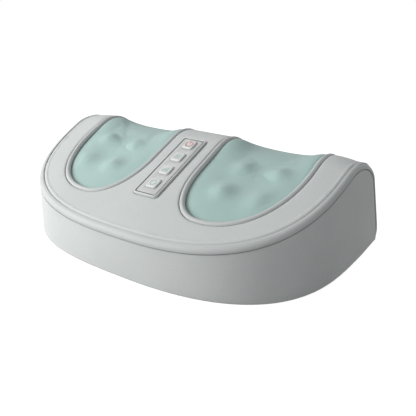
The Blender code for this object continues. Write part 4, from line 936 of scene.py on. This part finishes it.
    def build_wall(self) -> Item:
        """Side wall: rolled into the seam above, faintly bowed, rolled under at the floor."""
        line, normals = self.stations()
        reach = self.band_reach + self.seam
        last = next(i for i, point in enumerate(line)
                    if self.body.height(point.y, reach) > self.body.base + self.least_height)
        line, normals = line[last:len(line) - last], normals[last:len(line) - last]
        foot, middle = len(self.foot_roll), self.wall_rows

        def at(column: int, row: int) -> Vector:
            point = line[column]
            top = self.edge_height(point.y, reach)
            size = min(1.0, (top - self.hem) / self.full_height)
            flare = self.flare * size * eased((-self.body.front_y - point.y) / self.flare_fade)
            if row < foot:
                inset, rise = self.foot_roll[row]
                inset, z = inset * size - flare, self.hem + rise * size
            elif row < foot + middle:
                share = (row - foot + 1) / (middle + 1)
                low = self.hem + self.foot_roll[-1][1] * size
                high = top - self.top_room * size
                inset = -flare * math.cos(math.pi / 2 * share)
                z = low + (high - low) * share
            else:
                inset, drop = self.top_roll[row - foot - middle]
                inset, z = inset * size, top - drop * size
            spot = point + normals[column] * inset
            return Vector((spot.x, spot.y, z))
        item = laid_grid("wall_skin", len(line), foot + middle + len(self.top_roll), at)
        walled(item, self.skin)
        return self.palette.finished(item, "cover_leather", "side_cover", ["side_wall"], 60)

    def build_band(self) -> Item:
        """Padded band over the edge, its own edges turned down into the two seams."""
        line, normals = self.stations()
        reach, tuck, hair = self.band_reach, self.band_tuck, self.band_hair
        section = [(2 * tuck, reach), (tuck, reach), (hair, reach - tuck)]
        for i in range(1, self.band_rows):
            share = i / self.band_rows
            rise = self.band_rise * math.sin(math.pi * share)
            section.append((reach * (1 - share) ** 2 - rise, reach * share ** 2 - rise))
        section += [(reach - tuck, hair), (reach, tuck), (reach, 2 * tuck + hair)]

        def at(column: int, row: int) -> Vector:
            inset, depth = section[row]
            spot = line[column] + normals[column] * inset
            return Vector((spot.x, spot.y, self.edge_height(spot.y, depth)))
        item = laid_grid("band_roll", len(line), len(section), at)
        with editing(item):
            bpy.ops.mesh.bisect(plane_co=(0, 0, self.body.base), plane_no=(0, 0, 1),
                                clear_inner=True)
        walled(item, self.skin)
        # Painted shade: the band wears the darkened copy of the cover leather.
        return self.palette.finished(item, "trim_leather", "trim", ["trim_band"], 60)

    def build(self) -> None:
        """Make the three covers."""
        self.build_top()
        self.build_wall()
        self.build_band()


# Wells
@dataclass
class Well:
    """One well: its piped edge and the soft pad over its kneading head."""

    body: Body
    palette: Palette
    side: Side
    piping_radius: float = 0.0035
    piping_depth: float = 0.0025
    pad_gap: float = 0.0008
    seam: float = 0.0003
    trough: float = 0.0055
    roll_start: float = 0.0030
    roll_width: float = 0.0065
    level_front: float = 0.0035
    level_back: float = 0.0003
    bottom_front: float = 0.0088
    bottom_back: float = 0.0122
    bowl_share: float = 0.30
    flank_share: float = 0.62
    bump_spread: float = 0.0100
    tall_bump: float = 0.0086
    short_bump: float = 0.0058
    head_across_share: float = 0.5441
    head_setback: float = 0.0505
    orbit: float = 0.036
    pad_thickness: float = 0.006
    ledge_share: float = 0.84
    held_edge: float = 0.0065
    air: float = 3.0
    cloth_steps: int = 20
    cloth_cap: float = 0.0020
    sectors: int = 176
    rings: int = 58
    under_shares: tuple[float, ...] = (0.0, 0.4, 0.75, 0.84, 0.93, 1.0)
    piping_points: int = 300
    piping_sides: int = 20
    soft_rounds: int = 12
    last_rounds: int = 3

    @property
    def rim_depth(self) -> float:
        """Depth of the pad's edge below the surface."""
        return self.piping_depth + self.piping_radius + self.seam

    def bumps(self) -> list[Triple]:
        """Places (x, run) and heights of the four bumps in the right well."""
        x, _ = self.body.well_spot(self.head_across_share, 0)
        run = self.body.arc_start - self.head_setback
        places = []
        for i in range(4):
            angle = math.radians(45 + 90 * i)
            height = self.short_bump if i % 2 else self.tall_bump
            places.append((x + self.orbit * math.cos(angle), run + self.orbit * math.sin(angle),
                           height))
        return places

    def pad_depth(self, x: float, run: float, share: float, distance: float) -> float:
        """Depth of the pad's upper face at a place in the right well.

        Args:
            x: place across the body.
            run: run from the front edge.
            share: share of the way from the well's middle to its edge.
            distance: distance from the pad's edge.

        Returns:
            The depth below the body's surface.
        """
        rise = 0.0
        for bump_x, bump_run, height in self.bumps():
            reach = ((x - bump_x) ** 2 + (run - bump_run) ** 2) / self.bump_spread ** 2
            rise += height * math.exp(-reach / 2)
        along = eased(0.5 + (run - self.body.arc_start) / (2 * self.orbit))
        level = self.level_front + (self.level_back - self.level_front) * along
        bottom = self.bottom_front + (self.bottom_back - self.bottom_front) * along
        flank = eased((share - self.bowl_share) / self.flank_share)
        hollow = bottom + (level - bottom) * flank
        tuck = min(1.0, max(0.0, distance - self.roll_start) / self.roll_width)
        hollow = self.rim_depth + (hollow - self.rim_depth) * math.sin(math.pi / 2 * tuck)
        return hollow - rise * (1 - share ** 4)

    def build_piping(self) -> Item:
        """Round piped roll along the well's edge."""
        count, around = self.piping_points, self.piping_sides
        line = self.body.well_line(count, -self.piping_radius)
        sign = self.side.value
        spots = [self.body.wrap(sign * point.x, point.y, self.piping_depth) for point in line]
        tops = [self.body.wrap(sign * point.x, point.y, self.piping_depth - 0.01)
                for point in line]

        def at(column: int, row: int) -> Vector:
            along = spots[(column + 1) % count] - spots[column - 1]
            up = (tops[column] - spots[column]).normalized()
            out = along.cross(up).normalized()
            angle = math.tau * row / around
            return spots[column] + (out * math.cos(angle) + up * math.sin(angle)) \
                * self.piping_radius
        item = laid_grid("piping_" + self.side.word, count, around, at, around=True, across=True)
        return self.palette.finished(outward(item), "trim_leather", "piping",
                                     ["well_piping_" + self.side.word], 80)

    def build_pad(self) -> Item:
        """Knitted pad with its four soft bumps, closed underneath."""
        rim = self.body.well_line(self.sectors, -self.pad_gap)
        centre = self.body.well_centre
        sign = self.side.value
        shares = [1.0] + [1.0 - (i + 0.5) / self.rings for i in range(1, self.rings)] + [0.0]
        under = self.under_shares

        def spot(column: int, row: int) -> tuple[Vector, float]:
            share = under[row] if row < len(under) else shares[row - len(under)]
            return centre.lerp(rim[column % self.sectors], share), share

        def at(column: int, row: int) -> Vector:
            point, share = spot(column, row)
            if row < len(under):
                inner = min(1.0, share / self.ledge_share)
                depth = self.rim_depth + self.pad_thickness + self.trough * (1 - inner ** 2)
            else:
                distance = (rim[column % self.sectors] - point).length
                depth = self.pad_depth(point.x, point.y, share, distance)
            return self.body.wrap(sign * point.x, point.y, depth)

        def flat(column: int, row: int) -> Point:
            point, _ = spot(column, row)
            return (sign * point.x, point.y)
        item = laid_grid("pad_" + self.side.word, self.sectors, len(under) + len(shares), at,
                         around=True, spot=flat)
        outward(item)
        self.soften(item, self.soft_rounds)
        self.fill_out(item)
        self.palette.finished(item, "pad_knit", "pad", ["well_pad_" + self.side.word], 80)
        return item or item

    def soften(self, item: Item, rounds: int) -> None:
        """Smooth the pad's upper face."""
        with editing(item, "VERT"):
            choose(item, "VERT", lambda vertex: vertex.normal.z > 0.2)
            bpy.ops.mesh.vertices_smooth(factor=0.5, repeat=rounds)

    def fill_out(self, item: Item) -> None:
        """Let the knitted cover fill out as cloth, its underside, edge and middle held."""
        vertices = item.data.vertices
        rest = [vertex.co.copy() for vertex in vertices]
        rim = self.body.well_line(self.sectors, -self.pad_gap)
        centre = self.body.well_centre
        held = item.vertex_groups.new(name="held")
        for vertex in vertices:
            place = Vector((abs(vertex.co.x), self.body.run_of(vertex.co.y)))
            edge = min((place - point).length for point in rim)
            middle = (place - centre).length
            loose = eased(min(edge, middle) / self.held_edge - 1) if vertex.normal.z >= 0 else 0.0
            held.add([vertex.index], 1.0 - loose, "REPLACE")
        modifier = item.modifiers.new("cloth", "CLOTH")
        cloth = modifier.settings
        cloth.quality = 5
        cloth.use_pressure = True
        cloth.uniform_pressure_force = self.air
        cloth.vertex_group_mass = held.name
        cloth.effector_weights.gravity = 0.0
        for step in range(1, self.cloth_steps + 1):
            bpy.context.scene.frame_set(step)
        pick(item)
        bpy.ops.object.modifier_apply(modifier=modifier.name)
        bpy.context.scene.frame_set(1)
        for vertex, start in zip(item.data.vertices, rest):
            move = vertex.co - start
            reach = max(move.length, 0.000001)
            vertex.co = start + move * (self.cloth_cap * math.tanh(reach / self.cloth_cap) / reach)
        item.vertex_groups.clear()
        self.soften(item, self.last_rounds)
        LOG.info("%s: cloth filled out", item.name)

    def build(self) -> None:
        """Make the piping and the pad."""
        self.build_piping()
        self.build_pad()


# Control panel
@dataclass
class Panel:
    """Raised control panel on the bridge, with its tub, face, four buttons and their icons."""

    palette: Palette
    place: Matrix = field(default_factory=lambda: Matrix.Translation((0, -0.029766, 0.106908))
                          @ Matrix.Rotation(math.radians(23.1), 4, "X"))
    width: float = 0.037
    length: float = 0.118
    corner: float = 0.0045
    corner_steps: int = 7
    rise: float = 0.0025
    sink: float = 0.0025
    rim: float = 0.002
    rim_round: float = 0.0007
    groove: float = 0.0013
    gasket_step: float = 0.0001
    seat: float = 0.0003
    tub_depth: float = 0.0124
    tub_wall: float = 0.0018
    face_top: float = 0.002
    face_thickness: float = 0.002
    button: float = 0.0165
    button_corner: float = 0.003
    button_top: float = 0.004
    button_round: float = 0.0016
    flange: float = 0.001
    flange_thickness: float = 0.0012
    stem: float = 0.004
    stem_length: float = 0.002
    button_along: tuple[float, ...] = (0.0446, 0.017233, -0.010133, -0.0375)
    icon_line: float = 0.0009
    power_line: float = 0.00117
    bar_line: float = 0.00135
    icon_pitch: float = 0.0033
    arrow_ring: float = 0.0043
    arrow_radius: float = 0.0017
    icon_thick: float = 0.00016
    icon_sink: float = 0.00012
    level: float = 0.00002

    def block(self, name: str, size: Triple, middle: Triple, corner: float) -> Item:
        """Box with round upright corners, at its size and place on the panel."""
        item = settle(box(name, size, middle))
        with editing(item, "EDGE"):
            choose(item, "EDGE", lambda edge: abs(edge.verts[0].co.z - edge.verts[1].co.z)
                   > size[2] / 2)
            bpy.ops.mesh.bevel(offset=corner, segments=self.corner_steps, affect="EDGES")
        return item

    def round_rim(self, item: Item, z: float, width: float, segments: int) -> None:
        """Round the sharp edges that lie at one height."""
        with editing(item, "EDGE"):
            choose(item, "EDGE", lambda edge: edge.is_manifold
                   and all(abs(vertex.co.z - z) <= self.level for vertex in edge.verts)
                   and edge.calc_face_angle(0.0) > 0.8)
            bpy.ops.mesh.bevel(offset=width, segments=segments, affect="EDGES",
                               clamp_overlap=True)

    def flat_face(self, item: Item, z: float, up: bool) -> None:
        """Select, in edit mode, the face that closes a height."""
        choose(item, "FACE", lambda face: abs(face.calc_center_median().z - z) < self.level
               and abs(face.normal.z - (1 if up else -1)) < 0.01 and len(face.verts) > 12)

    def sunk(self, item: Item, z: float, up: bool, inset: float, move: float) -> None:
        """Inset a flat face and extrude it along Z."""
        with editing(item):
            self.flat_face(item, z, up)
            bpy.ops.mesh.inset(thickness=inset, use_even_offset=True)
            pushed(0, 0, move)

    def build_rim(self) -> Item:
        """Raised rim and the tub under it."""
        item = self.block("panel_surround", (self.width, self.length, self.rise + self.sink),
                          (0, 0, (self.rise - self.sink) / 2), self.corner)
        pocket = self.face_top - self.face_thickness - self.seat
        floor = self.tub_wall - self.tub_depth
        self.sunk(item, self.rise, True, self.rim, pocket - self.rise)
        self.sunk(item, pocket, True, self.tub_wall, floor - pocket)
        self.sunk(item, -self.sink, False, self.rim, self.sink - self.tub_depth)
        self.round_rim(item, self.rise, self.rim_round, 3)
        settle(item, self.place)
        return self.palette.finished(item, "panel_rim_satin", "panel_rim", ["panel_frame"], 35)

    def build_face(self) -> Item:
        """Silver face plate with a round-cornered opening for each button."""
        inset = self.rim + self.groove
        middle = self.face_top - self.face_thickness / 2
        size = (self.width - 2 * inset, self.length - 2 * inset, self.face_thickness)
        item = self.block("panel_plate", size, (0, 0, middle), self.corner - inset)
        hole = self.button + 2 * self.seat
        for along in self.button_along:
            carved(item, self.block("opening", (hole, hole, 0.01), (0, along, middle),
                                    self.button_corner))
        settle(bevelled(item, 0.00025, 2, 50), self.place)
        return self.palette.finished(item, "panel_silver", "panel_face", ["panel_face"], 35)

    def build_gasket(self) -> Item:
        """Painted shade: a black strip in the groove between the rim and the face, darkening it."""
        tall = self.face_thickness - self.gasket_step
        size = (self.width - 2 * self.rim, self.length - 2 * self.rim, tall)
        item = self.block("panel_gasket", size, (0, 0, tall / 2), self.corner - self.rim)
        with editing(item):
            choose(item, "FACE", lambda face: len(face.verts) > 12)
            bpy.ops.mesh.inset(thickness=self.groove, use_even_offset=True)
            bpy.ops.mesh.bridge_edge_loops()
        settle(item, self.place)
        # Painted shade: the black strip darkens the groove.
        return self.palette.finished(item, "black_plastic", "black_plastic", degrees=35)

    def build_cap(self) -> Item:
        """One push button about the panel's middle: cap, flange and stem."""
        low = self.face_top - self.face_thickness - self.seat
        tall = self.button_top - low
        item = self.block("cap", (self.button, self.button, tall), (0, 0, low + tall / 2),
                          self.button_corner)
        wide = self.button + 2 * self.flange
        with editing(item):
            self.flat_face(item, low, False)
            for factor, move in ((wide / self.button, -self.flange_thickness),
                                 (self.stem / wide, -self.stem_length)):
                pushed(0, 0, 0)
                scaled(factor)
                pushed(0, 0, move)
        self.round_rim(item, self.button_top, self.button_round, 5)
        with editing(item):
            self.flat_face(item, self.button_top, True)
            for factor, move in ((0.85, -0.00003), (0.5, -0.00012)):
                pushed(0, 0, 0)
                scaled(factor)
                bpy.ops.transform.translate(value=(0, 0, move))
        return item

    def stroke(self, width: float, length: float, middle: Point, bend: float = 0.0) -> Item:
        """Raised stroke: a narrow strip, bent into one wave, a hair thick."""
        deselect()
        bpy.ops.mesh.primitive_grid_add(x_subdivisions=1, y_subdivisions=16, size=1.0)
        item = take(bpy.context.object, "stroke")
        for vertex in item.data.vertices:
            sway = bend * math.sin(math.tau * vertex.co.y)
            vertex.co = (vertex.co.x * width + sway, vertex.co.y * length, 0)
        with editing(item):
            pushed(0, 0, self.icon_thick)
        outward(item)
        return settle(item, Matrix.Translation((*middle, self.button_top - self.icon_sink)))

    def arc(self, radius: float, width: float, start: float, end: float) -> Item:
        """Raised arc between two angles in degrees: a face spun round the button's middle."""
        deselect()
        z = self.button_top - self.icon_sink + self.icon_thick / 2
        bpy.ops.mesh.primitive_plane_add(size=1.0, location=(radius, 0, z),
                                         rotation=(math.pi / 2, 0, 0))
        item = take(bpy.context.object, "arc")
        item.scale = (width, self.icon_thick, 1)
        settle(item)
        settle(item, Matrix.Rotation(math.radians(start), 4, "Z"))
        with editing(item):
            bpy.ops.mesh.spin(steps=32, angle=math.radians(start - end), center=(0, 0, 0),
                              axis=(0, 0, 1))
            bpy.ops.mesh.select_all(action="SELECT")
            bpy.ops.mesh.remove_doubles(threshold=0.00001)
            bpy.ops.mesh.normals_make_consistent(inside=False)
        return item

    def tip(self, middle: Point, turn: float) -> Item:
        """Raised triangle, for the end of an arrow."""
        z = self.button_top - self.icon_sink + self.icon_thick / 2
        item = disc("tip", self.arrow_radius, self.icon_thick, (*middle, z), 3, (0, 0, turn))
        return bevelled(item, 0.00004, 1, 30)

    def icon(self, symbol: Symbol) -> Item:
        """Generic icon for a button's job, about the panel's middle."""
        line, pitch, ring = self.icon_line, self.icon_pitch, self.arrow_ring
        if symbol is Symbol.POWER:
            parts = [self.arc(0.0050, self.power_line, 122, 418),
                     self.stroke(self.power_line, 0.0050, (0, 0.0040))]
        elif symbol is Symbol.HEAT:
            parts = [self.stroke(line, 0.0094, (i * pitch, 0), 0.0009) for i in (-1, 0, 1)]
        elif symbol is Symbol.SPEED:
            parts = [self.stroke(self.bar_line, 0.0066 + 0.0024 * i,
                                 (i * pitch, -0.0012 + 0.0012 * i)) for i in (-1, 0, 1)]
        else:
            parts = [self.arc(ring, line, 20, 150), self.arc(ring, line, 200, 330),
                     self.tip((-0.0041, 0.0012), math.pi), self.tip((0.0041, -0.0012), 0.0)]
        return joined(parts, "icon_" + symbol.value)

    def build_buttons(self) -> None:
        """Four buttons with their icons, each tied to its own sliding body."""
        cap = self.build_cap()
        for symbol, along in zip(Symbol, self.button_along):
            body = "button_" + symbol.value
            slot, ink = ("power_button", "icon_red") if symbol is Symbol.POWER \
                else ("button", "icon_green")
            place = self.place @ Matrix.Translation((0, along, 0))
            item = copied(cap, "cap_" + symbol.value, place)
            self.palette.finished(item, "button_pale", slot, [body], 35, body)
            icon = settle(self.icon(symbol), place)
            self.palette.finished(icon, ink, slot, body=body)
        bpy.data.objects.remove(cap)

    def build(self) -> None:
        """Make the whole panel."""
        self.build_rim()
        self.build_face()
        self.build_gasket()
        self.build_buttons()


# Underside and inlet
@dataclass
class Underside:
    """Rubber feet and base screws, and the low-voltage inlet at the back."""

    palette: Palette
    base: float = 0.002
    seat: float = 0.0003
    foot_radius: float = 0.011
    plug_radius: float = 0.004
    plug_length: float = 0.0053
    feet: tuple[Row, ...] = (("front", 0.135, -0.085), ("back", 0.195, 0.110))
    screws: tuple[Row, ...] = (("front", 0.060075, -0.126), ("back", 0.203, 0.078))
    screw_head: float = 0.0035
    head_height: float = 0.002
    screw_shank: float = 0.0015
    screw_length: float = 0.014
    screw_point: float = 0.0015
    screw_top: float = 0.0057
    jack_z: float = 0.0199
    jack_barrel: float = 0.0055
    jack_bore: float = 0.0031
    jack_start: float = 0.114
    jack_end: float = 0.138824
    jack_depth: float = 0.012
    jack_pin: float = 0.001
    jack_recess: float = 0.0052

    def stepped(self, item: Item, axis: Triple, least: float, steps: Sequence[Point]) -> None:
        """Inset the flat faces that look along an axis, and push them out or in.

        Args:
            item: the object being edited.
            axis: the way that the faces look.
            least: how far along the axis they lie at least.
            steps: pairs of an inset and a move along the axis; 0 leaves either out.
        """
        way = Vector(axis)
        choose(item, "FACE", lambda face: face.normal.dot(way) > 0.99
               and face.calc_center_median().dot(way) > least)
        for inset, move in steps:
            if inset:
                bpy.ops.mesh.inset(thickness=inset)
            if move:
                pushed(*(way * move))

    def build_foot(self) -> Item:
        """One push-in foot: a rounded disc with a ring groove and a plug."""
        tall = self.base - self.seat
        item = disc("foot", self.foot_radius, tall, (0, 0, tall / 2), 48)
        with editing(item):
            self.stepped(item, (0, 0, 1), tall / 2,
                         [(self.foot_radius - self.plug_radius, self.plug_length)])
            self.stepped(item, (0, 0, -1), -0.0001,
                         [(0.0022, 0), (0.0012, -0.0005), (0.0008, 0.0005)])
        return bevelled(item, 0.0003, 3, 50)

    def build_screw(self) -> Item:
        """One base screw with a cross recess in its head."""
        head, point = self.head_height, self.screw_point
        item = disc("screw", self.screw_head, head, (0, 0, self.screw_top - head / 2), 32)
        with editing(item):
            self.stepped(item, (0, 0, 1), self.screw_top - 0.0001,
                         [(self.screw_head - self.screw_shank, self.screw_length - point),
                          (0, point)])
            scaled(0.1)
        for turn in (0.0, math.pi / 2):
            carved(item, box("slot", (0.0034, 0.0008, 0.0022), (0, 0, self.screw_top - head),
                             turn))
        return bevelled(item, 0.0001, 2, 60)

    def build_jack(self) -> Item:
        """Inlet: a moulded body with a round barrel, its bore and the pin in it."""
        start, end = self.jack_start, self.jack_end
        item = disc("inlet_barrel", self.jack_barrel, end - start,
                    (0, (start + end) / 2, self.jack_z), 40, (math.pi / 2, 0, 0))
        with editing(item):
            self.stepped(item, (0, 1, 0), end - 0.0001,
                         [(self.jack_barrel - self.jack_bore, -self.jack_depth),
                          (self.jack_bore - self.jack_pin, self.jack_depth - self.jack_recess)])
        bevelled(item, 0.0003, 2, 60)
        body = settle(box("inlet_body", (0.014, 0.012, 0.012), (0, start, self.jack_z)))
        carved(item, bevelled(body, 0.0006, 2, 30), "UNION")
        return self.palette.finished(item, "black_plastic", "black_plastic", ["dc_jack"])

    def spread(self, item: Item, kind: str, rows: Sequence[Row], solid: str, finish: str,
               slot: str) -> None:
        """Copy a piece to the left and right end of each row, each copy with its own mesh."""
        for row, x, y in rows:
            for side in Side:
                place = Matrix.Translation((side.value * x, y, 0))
                made = copied(item, f"{kind}_{row}_{side.word}", place)
                self.palette.finished(made, finish, slot, [f"{solid}_{row}_{side.word}"])
        bpy.data.objects.remove(item)

    def build(self) -> None:
        """Make feet, screws and inlet."""
        self.spread(self.build_foot(), "pad_foot", self.feet, "foot", "foot_rubber", "foot")
        self.spread(self.build_screw(), "cross_screw", self.screws, "base_screw",
                    "bright_steel", "steel")
        self.build_jack()


def dress_works(palette: Palette) -> None:
    """Give a finish to the CAD nodes inside the shell, which keep their own shape."""
    palette.carry("shell_plastic", "casing")
    palette.carry("base_plastic", "base_pan")
    palette.carry("board_green", "control_board", "driver_board")
    palette.carry("black_plastic", *["switch_" + symbol.value for symbol in Symbol])
    for word in (side.word for side in Side):
        palette.carry("inner_white", "well_ring_" + word, "gearbox_" + word,
                      "worm_wheel_" + word)
        palette.carry("deck_plastic", "deck_" + word, "rotor_" + word)
        palette.carry("node_acetal", *[f"node_{word}_{i}" for i in range(1, 5)])
        palette.carry("bright_steel", "motor_" + word, "worm_" + word)
        palette.carry("bush_bronze", "head_bush_" + word)
    LOG.info("works: all carried nodes dressed")


# Studio
@dataclass
class Studio:
    """Pale floor, soft light from the left front, and the camera."""

    eye: Triple = (0.4352, -0.5621, 0.3296)
    target: Triple = (-0.02721, 0.09119, 0.002)
    lens: float = 48.02
    sensor: float = 36.0
    floor_z: float = -0.0002
    floor_size: float = 14.0
    floor_glow: float = 0.9
    world_light: float = 0.39
    lit: Triple = (0, 0, 0.06)
    lamps: tuple[tuple[str, Triple, float, float], ...] = (
        ("key", (-0.80, -0.78, 0.52), 0.5, 10.8), ("top", (-0.80, 0.0, 1.1), 1.0, 2.0),
        ("fill", (-0.1, -1.5, 0.5), 1.0, 3.5))

    def aimed(self, name: str, data: bpy.types.ID, place: Triple, target: Triple) -> Item:
        """Put a lamp or camera at a place and turn it to look at a point."""
        item = bpy.data.objects.new(name, data)
        bpy.context.scene.collection.objects.link(item)
        item.location = place
        way = Vector(target) - item.location
        item.rotation_euler = way.to_track_quat("-Z", "Y").to_euler()
        return item

    def lamp(self, name: str, place: Triple, size: float, power: float) -> Item:
        """Square soft light aimed at the body."""
        data = bpy.data.lights.new(name, "AREA")
        data.shape = "SQUARE"
        data.size = size
        data.energy = power
        return self.aimed(name, data, place, self.lit)

    def split(self, tree: Tree, output: str, dim: bpy.types.Node,
              bright: bpy.types.Node) -> None:
        """Show a bright shader to the camera, a gloss or a clear surface, else a dim one."""
        path = node(tree, "LightPath", {}).outputs
        seen = path["Is Camera Ray"]
        for name in ("Is Glossy Ray", "Is Transmission Ray"):
            seen = node(tree, "Math", {0: seen, 1: path[name]}, operation="ADD",
                        use_clamp=True).outputs[0]
        mix = node(tree, "MixShader", {"Fac": seen, 1: dim.outputs[0], 2: bright.outputs[0]})
        node(tree, output, {"Surface": mix.outputs[0]})

    def build_world(self) -> None:
        """White for the camera, a dim even grey for the light it gives."""
        world = bpy.context.scene.world or bpy.data.worlds.new("room")
        bpy.context.scene.world = world
        world.use_nodes = True
        tree = world.node_tree
        tree.nodes.clear()
        dim = node(tree, "Background", {"Color": (0.97, 0.985, 1.0, 1.0),
                                        "Strength": self.world_light})
        white = node(tree, "Background", {"Color": (1.0, 1.0, 1.0, 1.0)})
        self.split(tree, "OutputWorld", dim, white)

    def build_floor(self) -> None:
        """Pale floor: white to the camera, yet it keeps the object's soft shadow."""
        deselect()
        bpy.ops.mesh.primitive_plane_add(size=self.floor_size, location=(0, 0, self.floor_z))
        floor = take(bpy.context.object, "floor")
        material = bpy.data.materials.new("floor_paper")
        material.use_nodes = True
        tree = material.node_tree
        tree.nodes.clear()
        paper = node(tree, "BsdfDiffuse", {"Color": (0.45, 0.45, 0.45, 1.0)})
        glow = node(tree, "Emission", {"Strength": self.floor_glow})
        bright = node(tree, "AddShader", {0: paper.outputs[0], 1: glow.outputs[0]})
        self.split(tree, "OutputMaterial", paper, bright)
        floor.data.materials.append(material)

    def build(self) -> None:
        """Set up the camera at the photograph's angle, the world, the floor and the lamps."""
        data = bpy.data.cameras.new("view")
        data.lens = self.lens
        data.sensor_width = self.sensor
        scene = bpy.context.scene
        scene.camera = self.aimed("view", data, self.eye, self.target)
        self.build_world()
        self.build_floor()
        for lamp in self.lamps:
            self.lamp(*lamp)
        scene.view_settings.view_transform = "Standard"


def main() -> None:
    """Build every piece in order."""
    logging.basicConfig(level=logging.INFO, format="%(name)s: %(message)s")
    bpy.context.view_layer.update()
    body, palette = Body(), Palette()
    panel = Panel(palette)
    Studio().build()
    Covers(body, palette, panel).build()
    for side in Side:
        Well(body, palette, side).build()
    panel.build()
    Underside(palette).build()
    dress_works(palette)


if __name__ == "__main__":
    main()
